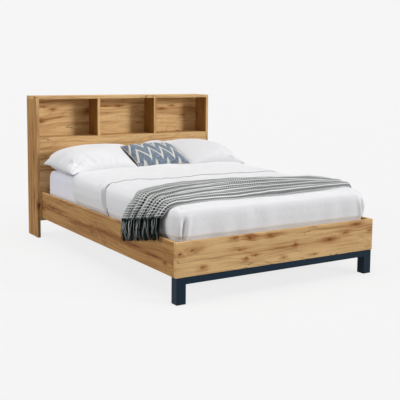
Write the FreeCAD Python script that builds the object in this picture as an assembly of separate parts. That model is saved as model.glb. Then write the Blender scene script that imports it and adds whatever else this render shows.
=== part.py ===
import FreeCAD, Part
import math
import os
from FreeCAD import Vector

# Bookcase headboard bed for a 1400 x 2000 mattress, dressed with bedding.
# Frame: millimetres, +Z up, +Y towards the headboard, origin on the floor
# under the middle of the whole bed.

os.makedirs("parts", exist_ok=True)

# ---------------------------------------------------------------- driving sizes
PANEL = 22.0                # thickness of every laminated board
EDGE = 1.0                  # eased edge of the boards
HEAD_WIDTH = 1525.0
HEAD_DEPTH = 206.0
HEAD_HEIGHT = 1080.0
SHELF_TOP = 767.0           # floor of the three cubbies
BACK_PANEL = 16.0           # thickness of the cubby back
BACK_INSET = 22.0           # cubby back sits this far inside the rear edges
FRONT_BOARD_BOTTOM = 134.0
STRETCHER_HEIGHT = 120.0
GLIDE = 3.0                 # plastic glides under the side panels

WELL_LENGTH = 2014.0        # clear length between headboard and footboard
RAIL_INSET = 35.0           # side rail stands this far inside the headboard
RAIL_BOTTOM = 153.0
RAIL_HEIGHT = 198.0

SLAT_COUNT = 14
SLAT_WIDTH = 70.0
SLAT_THICK = 18.0
SLAT_EASE = 2.5             # planed edges of a slat
SLAT_END_MARGIN = 45.0
SLAT_TOP = 276.0
LEDGE_WIDTH = 22.0
LEDGE_HEIGHT = 30.0
CENTRE_RAIL_WIDTH = 45.0
CENTRE_RAIL_HEIGHT = 70.0
CENTRE_LEG_SPREAD = 450.0   # centre legs stand this far either side of the middle

FOOT_LEG = 60.0             # square steel foot leg
FOOT_LEG_INSET = 7.0
CROSSBAR = 40.0             # square steel crossbar between the foot legs
TUBE_WALL = 2.0

# ---------------------------------------------------------------- derived places
HALF_LENGTH = (HEAD_DEPTH + WELL_LENGTH + PANEL) / 2.0
Y_REAR = HALF_LENGTH
Y_HEAD = Y_REAR - HEAD_DEPTH            # front face of the headboard
Y_FOOT = Y_HEAD - WELL_LENGTH           # inner face of the footboard
Y_FRONT = Y_FOOT - PANEL                # outer face of the footboard
X_HEAD = HEAD_WIDTH / 2.0
X_SIDE = X_HEAD - PANEL                 # inner face of a headboard side panel
X_RAIL = X_HEAD - RAIL_INSET            # outer face of a side rail
X_WELL = X_RAIL - PANEL                 # inner face of a side rail
RAIL_TOP = RAIL_BOTTOM + RAIL_HEIGHT
Y_BACK_FACE = Y_REAR - BACK_INSET - BACK_PANEL
Y_BACK_REAR = Y_REAR - BACK_INSET
Z_TOP_PANEL = HEAD_HEIGHT - PANEL
CUBBY = (2.0 * X_SIDE - 2.0 * PANEL) / 3.0
SLAT_BOTTOM = SLAT_TOP - SLAT_THICK
Z_CENTRE_RAIL = SLAT_BOTTOM - CENTRE_RAIL_HEIGHT

parts = {}


# ---------------------------------------------------------------- helpers
def box(x_low, x_high, y_low, y_high, z_low, z_high):
    size = (x_high - x_low, y_high - y_low, z_high - z_low)
    return Part.makeBox(*size, Vector(x_low, y_low, z_low))


def board(x_low, x_high, y_low, y_high, z_low, z_high, edge=EDGE):
    """A laminated board or planed timber with every edge eased."""
    solid = box(x_low, x_high, y_low, y_high, z_low, z_high)
    return solid.makeChamfer(edge, solid.Edges)


def mirrored(shape):
    """The same shape on the other side of the bed's long middle plane."""
    return shape.mirror(Vector(0, 0, 0), Vector(1, 0, 0))


def group(solids):
    return Part.makeCompound(solids)


def facets(first, second, third, fourth):
    """One flat face over four corners, or two triangles where they are out of plane."""
    corners = [first, second, third, fourth]
    lift = (second - first).cross(third - first).dot(fourth - first)
    if abs(lift) < 1e-3:
        return [Part.Face(Part.makePolygon(corners + [first]))]
    return [Part.Face(Part.makePolygon([first, second, third, first])),
            Part.Face(Part.makePolygon([first, third, fourth, first]))]


def skinned(rings):
    """Solid with flat facets between flat rings of equally many points."""
    faces = []
    count = len(rings[0])
    for below, above in zip(rings, rings[1:]):
        for index in range(count):
            after = (index + 1) % count
            faces += facets(below[index], below[after], above[after], above[index])
    for end in (rings[0], rings[-1]):
        faces.append(Part.Face(Part.makePolygon(end + [end[0]])))
    shell = Part.makeShell(faces)
    shell.sewShape()
    solid = Part.makeSolid(shell)
    return solid if solid.Volume > 0 else solid.reversed()


def spindle(profile, start, direction, sides):
    """Many-sided turned piece through (radius, along) pairs, placed on its axis."""
    step = 2.0 * math.pi / sides
    rings = [
        [Vector(radius * math.cos(i * step), radius * math.sin(i * step), along)
         for i in range(sides)]
        for radius, along in profile]
    solid = skinned(rings)
    turn = FreeCAD.Rotation(Vector(0, 0, 1), Vector(*direction))
    solid.Placement = FreeCAD.Placement(Vector(*start), turn)
    return solid


def closed_wire(edges):
    return Part.Wire(edges)


def line(start, end):
    return Part.LineSegment(start, end).toShape()


def arc(start, middle, end):
    return Part.Arc(start, middle, end).toShape()


# ---------------------------------------------------------------- fasteners
FASTENER_SIDES = 6          # small fasteners, and so the holes they fill, have six flats
TURNED_SIDES = 12
SCREW_HEAD_RADIUS = 4.5
SCREW_HEAD_HEIGHT = 3.0
SCREW_RADIUS = 2.2
SCREW_TIP = 4.0
SCREW_POINT = 0.4
CAM_RADIUS = 7.5
CAM_DEPTH = 12.0
CAM_SETBACK = 24.0          # cam centre from the end of its board
CAM_BOLT_RADIUS = 3.5
CAM_BOLT_IN_FACE = 11.0
DOWEL_RADIUS = 4.0
DOWEL_IN_FACE = 10.0
DOWEL_IN_END = 20.0
BOLT_RADIUS = 4.0
BOLT_HEAD_RADIUS = 7.5      # over the corners of the hexagon head
BOLT_HEAD_HEIGHT = 5.0
BOLT_REACH = 14.0           # bolt length inside the threaded insert
INSERT_RADIUS = 6.0
INSERT_DEPTH = 16.0


def pin(radius, start, end, sides=FASTENER_SIDES):
    """Plain many-sided rod from start to end."""
    start = Vector(*start)
    run = Vector(*end) - start
    return spindle([(radius, 0.0), (radius, run.Length)], tuple(start), tuple(run), sides)


def wood_screw(start, direction, length):
    """Countersunk screw whose head face lies at start; direction points to its tip."""
    profile = [
        (SCREW_HEAD_RADIUS, 0.0),
        (SCREW_RADIUS, SCREW_HEAD_HEIGHT),
        (SCREW_RADIUS, length - SCREW_TIP),
        (SCREW_POINT, length),
    ]
    return spindle(profile, start, direction, FASTENER_SIDES)


def frame_bolt(start, direction, plate):
    """Hexagon bolt clamping a plate of that thickness; start is on the plate."""
    profile = [
        (BOLT_HEAD_RADIUS, -BOLT_HEAD_HEIGHT),
        (BOLT_HEAD_RADIUS, 0.0),
        (BOLT_RADIUS, 0.0),
        (BOLT_RADIUS, plate + BOLT_REACH),
    ]
    return spindle(profile, start, direction, FASTENER_SIDES)


def threaded_insert(start, direction):
    """Sleeve let into a board; its bore takes the frame bolt."""
    sleeve = [(INSERT_RADIUS, 0.0), (INSERT_RADIUS, INSERT_DEPTH)]
    bore = [(BOLT_RADIUS, 0.0), (BOLT_RADIUS, BOLT_REACH)]
    outer = spindle(sleeve, start, direction, FASTENER_SIDES)
    return outer.cut(spindle(bore, start, direction, FASTENER_SIDES))


def dowel(joint, into_face):
    """Dowel across a joint: into_face points into the board drilled in its face."""
    joint = Vector(*joint)
    into_face = Vector(*into_face)
    start = joint - into_face * DOWEL_IN_END
    end = joint + into_face * DOWEL_IN_FACE
    return pin(DOWEL_RADIUS, tuple(start), tuple(end))


def cam_bolt(joint, into_face):
    """Connecting bolt: screwed into the face board, its head held by the cam."""
    joint = Vector(*joint)
    into_face = Vector(*into_face)
    start = joint - into_face * (CAM_SETBACK - CAM_RADIUS)
    end = joint + into_face * CAM_BOLT_IN_FACE
    return pin(CAM_BOLT_RADIUS, tuple(start), tuple(end))


def cam_lock(surface, into_board):
    """Cam let into a board's surface, flush with it."""
    surface = Vector(*surface)
    end = surface + Vector(*into_board) * CAM_DEPTH
    return pin(CAM_RADIUS, tuple(surface), tuple(end), TURNED_SIDES)


# ---------------------------------------------------------------- bookcase headboard
CAM_AXIS = PANEL / 2.0      # bolts run in the middle of the board's thickness


def headboard_panels():
    left = board(-X_HEAD, -X_SIDE, Y_HEAD, Y_REAR, GLIDE, Z_TOP_PANEL)
    parts["headboard_side_left"] = left
    parts["headboard_side_right"] = mirrored(left)
    parts["headboard_top"] = board(-X_HEAD, X_HEAD, Y_HEAD, Y_REAR, Z_TOP_PANEL, HEAD_HEIGHT)
    parts["headboard_front_board"] = board(
        -X_SIDE, X_SIDE, Y_HEAD, Y_HEAD + PANEL, FRONT_BOARD_BOTTOM, SHELF_TOP)
    parts["headboard_shelf"] = board(
        -X_SIDE, X_SIDE, Y_HEAD + PANEL, Y_BACK_REAR, SHELF_TOP - PANEL, SHELF_TOP)
    parts["bookcase_back"] = board(
        -X_SIDE, X_SIDE, Y_BACK_FACE, Y_BACK_REAR, SHELF_TOP, Z_TOP_PANEL)
    parts["rear_stretcher"] = board(
        -X_SIDE, X_SIDE, Y_BACK_REAR - PANEL, Y_BACK_REAR,
        FRONT_BOARD_BOTTOM, FRONT_BOARD_BOTTOM + STRETCHER_HEIGHT)
    divider = board(
        -CUBBY / 2.0 - PANEL, -CUBBY / 2.0, Y_HEAD, Y_BACK_FACE, SHELF_TOP, Z_TOP_PANEL)
    parts["divider_left"] = divider
    parts["divider_right"] = mirrored(divider)


def headboard_glides():
    profile = [(9.0, 0.0), (11.0, 1.5), (11.0, GLIDE)]
    x = X_HEAD - PANEL / 2.0
    places = [(side * x, y, 0.0) for side in (-1, 1) for y in (Y_HEAD + 30.0, Y_REAR - 30.0)]
    parts["headboard_glides"] = group([
        spindle(profile, place, (0, 0, 1), TURNED_SIDES) for place in places])


def headboard_hardware():
    cams = []
    bolts = []
    dowels = []
    cam_x = X_SIDE - CAM_SETBACK
    for side in (-1, 1):
        outward = (side, 0, 0)
        # shelf to side panels, cams in its underside
        z = SHELF_TOP - CAM_AXIS
        for y in (Y_HEAD + 55.0, Y_BACK_REAR - 35.0):
            cams.append(cam_lock((side * cam_x, y, SHELF_TOP - PANEL), (0, 0, 1)))
            bolts.append(cam_bolt((side * X_SIDE, y, z), outward))
        dowels.append(dowel((side * X_SIDE, Y_HEAD + 100.0, z), outward))
        # front board to side panels, cams in its rear face
        y = Y_HEAD + CAM_AXIS
        for z in (FRONT_BOARD_BOTTOM + 60.0, SHELF_TOP - 80.0):
            cams.append(cam_lock((side * cam_x, Y_HEAD + PANEL, z), (0, -1, 0)))
            bolts.append(cam_bolt((side * X_SIDE, y, z), outward))
        for z in (FRONT_BOARD_BOTTOM + 220.0, SHELF_TOP - 230.0):
            dowels.append(dowel((side * X_SIDE, y, z), outward))
        # rear stretcher to side panels, cams in its inner face
        y = Y_BACK_REAR - CAM_AXIS
        for z in (FRONT_BOARD_BOTTOM + 30.0, FRONT_BOARD_BOTTOM + 90.0):
            cams.append(cam_lock((side * cam_x, Y_BACK_REAR - PANEL, z), (0, 1, 0)))
            bolts.append(cam_bolt((side * X_SIDE, y, z), outward))
        # top panel to side panels, cams in the side panels near the cubby back
        x = X_SIDE + CAM_AXIS
        for y in (Y_BACK_FACE - 60.0, Y_BACK_FACE - 20.0):
            cams.append(cam_lock((side * X_SIDE, y, Z_TOP_PANEL - CAM_SETBACK), outward))
            bolts.append(cam_bolt((side * x, y, Z_TOP_PANEL), (0, 0, 1)))
        dowels.append(dowel((side * x, Y_HEAD + 40.0, Z_TOP_PANEL), (0, 0, 1)))
        # dividers to shelf and top panel
        x = CUBBY / 2.0 + PANEL / 2.0
        for y in (Y_HEAD + 50.0, Y_BACK_FACE - 40.0):
            dowels.append(dowel((side * x, y, SHELF_TOP), (0, 0, -1)))
            dowels.append(dowel((side * x, y, Z_TOP_PANEL), (0, 0, 1)))
    parts["cam_locks"] = group(cams)
    parts["cam_bolts"] = group(bolts)
    parts["wood_dowels"] = group(dowels)


def back_screws():
    """Screws through the cubby back into the rear edges of the dividers."""
    x = CUBBY / 2.0 + PANEL / 2.0
    heights = (SHELF_TOP + 50.0, Z_TOP_PANEL - 50.0)
    parts["back_panel_screws"] = group([
        wood_screw((side * x, Y_BACK_REAR, z), (0, -1, 0), 45.0)
        for side in (-1, 1) for z in heights])


# ---------------------------------------------------------------- rails and footboard
def rails_and_footboard():
    left = board(-X_RAIL, -X_WELL, Y_FOOT, Y_HEAD, RAIL_BOTTOM, RAIL_TOP)
    parts["side_rail_left"] = left
    parts["side_rail_right"] = mirrored(left)
    parts["footboard"] = board(-X_RAIL, X_RAIL, Y_FRONT, Y_FOOT, RAIL_BOTTOM, RAIL_TOP)


BRACKET_PLATE = 3.0
BRACKET_ARM = 40.0
BRACKET_HEIGHT = 96.0
BRACKET_BOTTOM = 165.0
BRACKET_BEND = 6.0
BRACKET_GUSSET = 3.0


def corner_bracket(towards_head):
    """Pressed steel angle in the left corner of the well, with a gusset web.

    The first arm lies on the side rail and the second on the headboard or footboard.
    """
    x_face = -X_WELL
    y_face = Y_HEAD if towards_head else Y_FOOT
    away = -1.0 if towards_head else 1.0

    def corner(across, along):
        return Vector(x_face + across, y_face + away * along, BRACKET_BOTTOM)

    inner = BRACKET_BEND
    outer = BRACKET_BEND + BRACKET_PLATE
    outer_middle = outer - outer * math.sqrt(0.5)
    inner_middle = outer - inner * math.sqrt(0.5)
    profile = closed_wire([
        line(corner(0, BRACKET_ARM), corner(0, outer)),
        arc(corner(0, outer), corner(outer_middle, outer_middle), corner(outer, 0)),
        line(corner(outer, 0), corner(BRACKET_ARM, 0)),
        line(corner(BRACKET_ARM, 0), corner(BRACKET_ARM, BRACKET_PLATE)),
        line(corner(BRACKET_ARM, BRACKET_PLATE), corner(outer, BRACKET_PLATE)),
        arc(corner(outer, BRACKET_PLATE), corner(inner_middle, inner_middle),
            corner(BRACKET_PLATE, outer)),
        line(corner(BRACKET_PLATE, outer), corner(BRACKET_PLATE, BRACKET_ARM)),
        line(corner(BRACKET_PLATE, BRACKET_ARM), corner(0, BRACKET_ARM)),
    ])
    angle = Part.Face(profile).extrude(Vector(0, 0, BRACKET_HEIGHT))
    web_low = BRACKET_BOTTOM + (BRACKET_HEIGHT - BRACKET_GUSSET) / 2.0
    reach = BRACKET_ARM * 0.75
    thin = BRACKET_PLATE - 0.5
    web_points = [corner(thin, thin), corner(reach, thin), corner(thin, reach), corner(thin, thin)]
    web = Part.Face(Part.makePolygon(web_points)).extrude(Vector(0, 0, BRACKET_GUSSET))
    web.translate(Vector(0, 0, web_low - BRACKET_BOTTOM))
    return angle.fuse(web).removeSplitter()


def corner_brackets():
    """Four angles with their bolts, inserts and screws; returns the fasteners."""
    screws = []
    bolts = []
    inserts = []
    bolt_x = X_WELL - BRACKET_ARM * 0.62
    heights = (BRACKET_BOTTOM + 22.0, BRACKET_BOTTOM + BRACKET_HEIGHT - 22.0)
    for name, towards_head in (("head", True), ("foot", False)):
        bracket = corner_bracket(towards_head)
        y_face = Y_HEAD if towards_head else Y_FOOT
        away = -1.0 if towards_head else 1.0
        for side in (-1, 1):
            for z in heights:
                plate = (side * bolt_x, y_face + away * BRACKET_PLATE, z)
                bolts.append(frame_bolt(plate, (0, -away, 0), BRACKET_PLATE))
                inserts.append(threaded_insert((side * bolt_x, y_face, z), (0, -away, 0)))
                screw = (side * (X_WELL - BRACKET_PLATE), y_face + away * BRACKET_ARM * 0.62, z)
                screws.append(wood_screw(screw, (side, 0, 0), 21.0))
        holes = group(bolts + screws)
        parts["corner_bracket_" + name + "_left"] = bracket.cut(holes)
        parts["corner_bracket_" + name + "_right"] = mirrored(bracket).cut(holes)
    return screws, bolts, inserts


# ---------------------------------------------------------------- slat deck
HANGER_PLATE = 2.5
HANGER_EAR = 26.0
HANGER_DEPTH = 42.0


def slat_ledges():
    y_low = Y_FOOT + SLAT_END_MARGIN
    y_high = Y_HEAD - SLAT_END_MARGIN
    x_inner = X_WELL - LEDGE_WIDTH
    left = board(-X_WELL, -x_inner, y_low, y_high, SLAT_BOTTOM - LEDGE_HEIGHT, SLAT_BOTTOM)
    parts["slat_ledge_left"] = left
    parts["slat_ledge_right"] = mirrored(left)
    screws = []
    step = (y_high - y_low - 120.0) / 3.0
    for side in (-1, 1):
        for index in range(4):
            place = (side * x_inner, y_low + 60.0 + index * step, SLAT_BOTTOM - LEDGE_HEIGHT / 2.0)
            screws.append(wood_screw(place, (side, 0, 0), 38.0))
    return screws


def slats():
    """Planed slats; the first and last are screwed to the ledges."""
    span = WELL_LENGTH - 2.0 * SLAT_END_MARGIN - SLAT_WIDTH
    pitch = span / (SLAT_COUNT - 1)
    half_length = X_WELL - 4.5
    first = Y_FOOT + SLAT_END_MARGIN
    screws = []
    for index in range(SLAT_COUNT):
        y = first + index * pitch
        parts["slat_%02d" % (index + 1)] = board(
            -half_length, half_length, y, y + SLAT_WIDTH, SLAT_BOTTOM, SLAT_TOP, SLAT_EASE)
        if index in (0, SLAT_COUNT - 1):
            for side in (-1, 1):
                place = (side * (X_WELL - 11.0), y + SLAT_WIDTH / 2.0, SLAT_TOP)
                screws.append(wood_screw(place, (0, 0, -1), 38.0))
    last = first + (SLAT_COUNT - 1) * pitch + SLAT_WIDTH
    strap_x = X_WELL / 2.0
    parts["slat_straps"] = group([
        box(x - 12.5, x + 12.5, first, last, SLAT_BOTTOM - 1.0, SLAT_BOTTOM)
        for x in (-strap_x, strap_x)])
    return screws


def rail_hanger(towards_head):
    """Folded steel shoe that carries one end of the centre rail."""
    y_face = Y_HEAD if towards_head else Y_FOOT
    away = -1.0 if towards_head else 1.0
    half = CENTRE_RAIL_WIDTH / 2.0

    def slab(x_low, x_high, near, far, z_low, z_high):
        ends = sorted((y_face + away * near, y_face + away * far))
        return box(x_low, x_high, ends[0], ends[1], z_low, z_high)

    low = Z_CENTRE_RAIL - HANGER_PLATE
    high = Z_CENTRE_RAIL + CENTRE_RAIL_HEIGHT - 8.0
    wide = half + HANGER_PLATE + HANGER_EAR
    shoe = slab(-wide, wide, 0.0, HANGER_PLATE, low, high)
    floor = slab(-half - HANGER_PLATE, half + HANGER_PLATE, 0.0, HANGER_DEPTH, low, Z_CENTRE_RAIL)
    shoe = shoe.fuse(floor)
    for side in (-1, 1):
        ends = sorted((side * half, side * (half + HANGER_PLATE)))
        shoe = shoe.fuse(slab(ends[0], ends[1], 0.0, HANGER_DEPTH, low, high))
    return shoe.removeSplitter()


def centre_rail():
    y_low = Y_FOOT + HANGER_PLATE
    y_high = Y_HEAD - HANGER_PLATE
    half = CENTRE_RAIL_WIDTH / 2.0
    parts["centre_rail"] = board(-half, half, y_low, y_high, Z_CENTRE_RAIL, SLAT_BOTTOM)
    bolts = []
    inserts = []
    bolt_x = half + HANGER_PLATE + HANGER_EAR / 2.0
    bolt_z = Z_CENTRE_RAIL + CENTRE_RAIL_HEIGHT / 2.0
    for name, towards_head in (("head", True), ("foot", False)):
        y_face = Y_HEAD if towards_head else Y_FOOT
        away = -1.0 if towards_head else 1.0
        ours = []
        for side in (-1, 1):
            plate = (side * bolt_x, y_face + away * HANGER_PLATE, bolt_z)
            ours.append(frame_bolt(plate, (0, -away, 0), HANGER_PLATE))
            inserts.append(threaded_insert((side * bolt_x, y_face, bolt_z), (0, -away, 0)))
        parts["centre_rail_hanger_" + name] = rail_hanger(towards_head).cut(group(ours))
        bolts += ours
    return bolts, inserts


CENTRE_LEG = 38.0           # square tube
CENTRE_LEG_BOTTOM = 26.0
CENTRE_LEG_SOLE = 6.0       # nut plate welded into the tube's lower end
LEG_PLATE_THICK = 3.0
LEG_PLATE_LENGTH = 110.0
LEG_PLATE_CORNER = 6.0
STUD_RADIUS = 5.0
STUD_CLEARANCE = 0.3
STUD_TOP = 70.0
PAD_RADIUS = 20.0
PAD_HEIGHT = 9.0
NUT_RADIUS = 8.0
NUT_HEIGHT = 4.0


def centre_legs():
    """Square steel support legs with a top plate and a screw-in levelling foot."""
    screws = []
    plate_top = Z_CENTRE_RAIL
    plate_low = plate_top - LEG_PLATE_THICK
    outer = CENTRE_LEG / 2.0
    inner = outer - TUBE_WALL
    half = CENTRE_RAIL_WIDTH / 2.0
    reach = LEG_PLATE_LENGTH / 2.0
    for name, y in (("head", CENTRE_LEG_SPREAD), ("foot", -CENTRE_LEG_SPREAD)):
        tube = box(-outer, outer, y - outer, y + outer, CENTRE_LEG_BOTTOM, plate_low)
        tube = tube.cut(box(-inner, inner, y - inner, y + inner,
                            CENTRE_LEG_BOTTOM + CENTRE_LEG_SOLE, plate_low))
        stud_hole = STUD_RADIUS + STUD_CLEARANCE
        tube = tube.cut(pin(stud_hole, (0, y, 0), (0, y, plate_low), TURNED_SIDES))
        plate = box(-half, half, y - reach, y + reach, plate_low, plate_top)
        corners = [edge for edge in plate.Edges if abs(edge.Length - LEG_PLATE_THICK) < 0.01]
        plate = plate.makeChamfer(LEG_PLATE_CORNER, corners)
        ours = [
            wood_screw((x, y + along, plate_low), (0, 0, 1), 25.0)
            for x in (-12.0, 12.0) for along in (-reach + 12.0, reach - 12.0)]
        parts["centre_leg_" + name] = tube.fuse(plate).cut(group(ours))
        screws += ours
        foot_profile = [
            (PAD_RADIUS - 2.0, 0.0),
            (PAD_RADIUS, 2.0),
            (PAD_RADIUS, 6.0),
            (NUT_RADIUS, PAD_HEIGHT),
            (NUT_RADIUS, PAD_HEIGHT + NUT_HEIGHT),
            (STUD_RADIUS, PAD_HEIGHT + NUT_HEIGHT),
            (STUD_RADIUS, STUD_TOP),
        ]
        parts["levelling_foot_" + name] = spindle(
            foot_profile, (0, y, 0), (0, 0, 1), TURNED_SIDES)
    return screws


# ---------------------------------------------------------------- steel foot frame
CAP_PLATE = 3.0
CAP_PLUG = 14.0
TAB_WIDTH = 50.0
TAB_HEIGHT = 56.0
TAB_PLATE = 4.0
TAB_CORNER = 10.0
LEG_CORNER = 3.0


def square_tube_leg(x_low, x_high, y_low, y_high, z_low, z_high):
    solid = box(x_low, x_high, y_low, y_high, z_low, z_high)
    height = z_high - z_low
    uprights = [edge for edge in solid.Edges if abs(edge.Length - height) < 0.01]
    solid = solid.makeFillet(LEG_CORNER, uprights)
    bore = box(x_low + TUBE_WALL, x_high - TUBE_WALL, y_low + TUBE_WALL, y_high - TUBE_WALL,
               z_low, z_high - TUBE_WALL)
    return solid.cut(bore)


def foot_frame():
    """Welded crossbar with tabs between two square legs with plastic end caps."""
    x_outer = X_RAIL - FOOT_LEG_INSET
    x_inner = x_outer - FOOT_LEG
    y_rear = Y_FRONT + FOOT_LEG
    left = square_tube_leg(-x_outer, -x_inner, Y_FRONT, y_rear, CAP_PLATE, RAIL_BOTTOM)
    parts["foot_leg_left"] = left
    parts["foot_leg_right"] = mirrored(left)

    bar_low = RAIL_BOTTOM - CROSSBAR
    y_bar = Y_FRONT + CROSSBAR
    bar = box(-x_inner, x_inner, Y_FRONT, y_bar, bar_low, RAIL_BOTTOM)
    bar = bar.cut(box(-x_inner, x_inner, Y_FRONT + TUBE_WALL, y_bar - TUBE_WALL,
                      bar_low + TUBE_WALL, RAIL_BOTTOM - TUBE_WALL))
    bolts = []
    inserts = []
    bolt_z = RAIL_BOTTOM + TAB_HEIGHT * 0.6
    for x in (-x_inner * 0.72, 0.0, x_inner * 0.72):
        # the middle tab stands beside the centre rail's shoe
        tab_x = x if x else 110.0
        half = TAB_WIDTH / 2.0
        tab = box(tab_x - half, tab_x + half, Y_FOOT, Y_FOOT + TAB_PLATE,
                  RAIL_BOTTOM, RAIL_BOTTOM + TAB_HEIGHT)
        top_corners = [
            edge for edge in tab.Edges
            if abs(edge.Length - TAB_PLATE) < 0.01 and edge.CenterOfMass.z > bolt_z]
        tab = tab.makeChamfer(TAB_CORNER, top_corners)
        bolt = frame_bolt((tab_x, Y_FOOT + TAB_PLATE, bolt_z), (0, -1, 0), TAB_PLATE)
        bar = bar.fuse(tab).cut(bolt)
        bolts.append(bolt)
        inserts.append(threaded_insert((tab_x, Y_FOOT, bolt_z), (0, -1, 0)))
    parts["foot_crossbar"] = bar

    cap = box(-x_outer, -x_inner, Y_FRONT, y_rear, 0.0, CAP_PLATE)
    cap_edges = [edge for edge in cap.Edges if abs(edge.Length - CAP_PLATE) < 0.01]
    cap = cap.makeFillet(LEG_CORNER, cap_edges)
    plug_gap = TUBE_WALL
    plug = box(-x_outer + plug_gap, -x_inner - plug_gap, Y_FRONT + plug_gap, y_rear - plug_gap,
               CAP_PLATE, CAP_PLATE + CAP_PLUG)
    cap = cap.fuse(plug)
    parts["foot_end_caps"] = group([cap, mirrored(cap)])
    return bolts, inserts


# ---------------------------------------------------------------- soft goods
SOFT_GAP = 1.0              # air left between soft solids on different bodies
MATTRESS_HALF = 685.0
MATTRESS_TOP = 526.0
Y_MATTRESS_FOOT = Y_FOOT + 14.0
Y_MATTRESS_HEAD = Y_HEAD - 13.0
MATTRESS_CORNER = 70.0
MATTRESS_ROLL = 38.0        # radius of the rolled top and bottom edges
DUVET_TOP = 555.0
DUVET_HEM = 300.0
DUVET_HEAD = 435.0          # head edge of the duvet on the middle line
DUVET_HEAD_SAG = 90.0       # the head edge falls back this far at the sides
TURN_DOWN_FRONT = -150.0
TURN_DOWN_THICK = 9.0
TURN_DOWN_CORNER = 8.0


def bowed(start, end, bow, count):
    """Points from start towards end, drawn aside by bow at the middle, end left out."""
    points = []
    for index in range(count):
        t = index / count
        points.append(start + (end - start) * t + bow * (4.0 * t * (1.0 - t)))
    return points


def corner_points(centre, radius, from_degrees, count=6):
    """Quarter circle of points, counter-clockwise, both ends included."""
    points = []
    for index in range(count + 1):
        angle = math.radians(from_degrees + 90.0 * index / count)
        points.append(centre + Vector(math.cos(angle), math.sin(angle), 0) * radius)
    return points


def plan_ring(half, y_low, y_high, foot_corner, head_corner, z, head_bow=0.0):
    """Rounded rectangle in plan; its head side bows out by head_bow."""
    y_side = y_high - head_bow
    foot_x = half - foot_corner
    head_x = half - head_corner
    points = corner_points(Vector(-foot_x, y_low + foot_corner, z), foot_corner, 180.0)
    points += corner_points(Vector(foot_x, y_low + foot_corner, z), foot_corner, 270.0)
    right = corner_points(Vector(head_x, y_side - head_corner, z), head_corner, 0.0)
    left = corner_points(Vector(-head_x, y_side - head_corner, z), head_corner, 90.0)
    points += right
    points += bowed(right[-1], left[0], Vector(0, head_bow, 0), 12)[1:]
    return points + left


def mattress_form(grow=0.0):
    """Foam mattress with rounded corners and softly rolled top and bottom edges."""
    half = MATTRESS_HALF + grow
    low = SLAT_TOP + 1.0 - grow
    high = MATTRESS_TOP + grow
    roll = MATTRESS_ROLL + grow
    corner = MATTRESS_CORNER + grow
    steps = [math.radians(degrees) for degrees in (0.0, 30.0, 60.0, 90.0)]
    levels = [(low + roll * (1.0 - math.sin(a)), roll * (1.0 - math.cos(a))) for a in steps]
    levels = levels[::-1]
    levels += [(high - roll * (1.0 - math.sin(a)), roll * (1.0 - math.cos(a))) for a in steps]
    rings = []
    for z, inset in levels:
        rings.append(plan_ring(
            half - inset, Y_MATTRESS_FOOT - grow + inset, Y_MATTRESS_HEAD + grow - inset,
            corner - inset, corner - inset, z))
    return skinned(rings)


# half width, foot inset and corner radius of the duvet at rising heights
DUVET_SHAPE = (
    (DUVET_HEM, 704.6, 2.0, 70.0),
    (RAIL_TOP, 704.6, 2.0, 72.0),
    (430.0, 713.0, 0.0, 78.0),
    (485.0, 712.0, 4.0, 88.0),
    (513.0, 705.0, 14.0, 104.0),
    (534.0, 690.0, 46.0, 130.0),
    (548.0, 656.0, 108.0, 170.0),
    (DUVET_TOP, 560.0, 200.0, 230.0),
)


def duvet_form():
    """Solid outer form of the duvet: plan outlines stacked from hem to top."""
    rings = []
    for z, half, foot_inset, corner in DUVET_SHAPE:
        rings.append(plan_ring(half, Y_FOOT + 1.5 + foot_inset, DUVET_HEAD, corner,
                               TURN_DOWN_CORNER, z, DUVET_HEAD_SAG))
    return skinned(rings)


def turn_down_form():
    """The head end folded back over the duvet, a band that stands proud of it."""
    rings = []
    for z, half, _, _ in DUVET_SHAPE[1:]:
        proud = TURN_DOWN_THICK if z > RAIL_TOP else 0.0
        rings.append(plan_ring(half + proud, TURN_DOWN_FRONT, DUVET_HEAD, TURN_DOWN_CORNER,
                               TURN_DOWN_CORNER, z + proud, DUVET_HEAD_SAG))
    return skinned(rings)


def duvet():
    """Duvet tucked inside the rails, with its head end turned down as a band."""
    shell = duvet_form().fuse(turn_down_form())
    inside = mattress_form(0.5)
    below = box(-MATTRESS_HALF - 0.5, MATTRESS_HALF + 0.5,
                Y_MATTRESS_FOOT + MATTRESS_CORNER, Y_HEAD, 200.0, 480.0)
    return shell.cut(inside).cut(below)


# share of a stuffed pad's outline at rising heights from its seam to its crown
PAD_CONTOURS = (1.0, 0.965, 0.9, 0.8, 0.66, 0.48, 0.25)
PAD_SIDE_STEPS = 7
SEAM = 6.0
EAR_EASE = 0.3              # contours above the seam leave this much of each ear flat


def fullness(share, firmness):
    """Share of the full crown that stands at this share of the way out to the seam."""
    return (1.0 - share ** firmness) ** 0.6


def pad_form(corners, draw_in, crown_above, crown_below, firmness):
    """Stuffed pad about z 0: drawn-in sides between flat ears, crown by contours."""
    corners = [Vector(x, y, 0) for x, y in corners]
    centre = (corners[0] + corners[1] + corners[2] + corners[3]) * 0.25
    outline = []
    for index in range(4):
        start = corners[index]
        end = corners[(index + 1) % 4]
        inward = (centre - (start + end) * 0.5).normalize()
        outline += bowed(start, end, inward * draw_in, PAD_SIDE_STEPS)

    def contour(share, crown):
        """Contour at the height of this share of the outline, rounded at its corners."""
        z = crown * fullness(share, firmness) + math.copysign(SEAM / 2.0, crown)
        ease = EAR_EASE * min(1.0, 4.0 * (1.0 - share))
        points = []
        for index, point in enumerate(outline):
            along = 2.0 * (index % PAD_SIDE_STEPS) / PAD_SIDE_STEPS - 1.0
            reach = share * (1.0 - ease * along * along)
            points.append(centre + (point - centre) * reach + Vector(0, 0, z))
        return points

    rings = [contour(share, -crown_below) for share in PAD_CONTOURS[::-1]]
    rings += [contour(share, crown_above) for share in PAD_CONTOURS]
    return skinned(rings)


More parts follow.
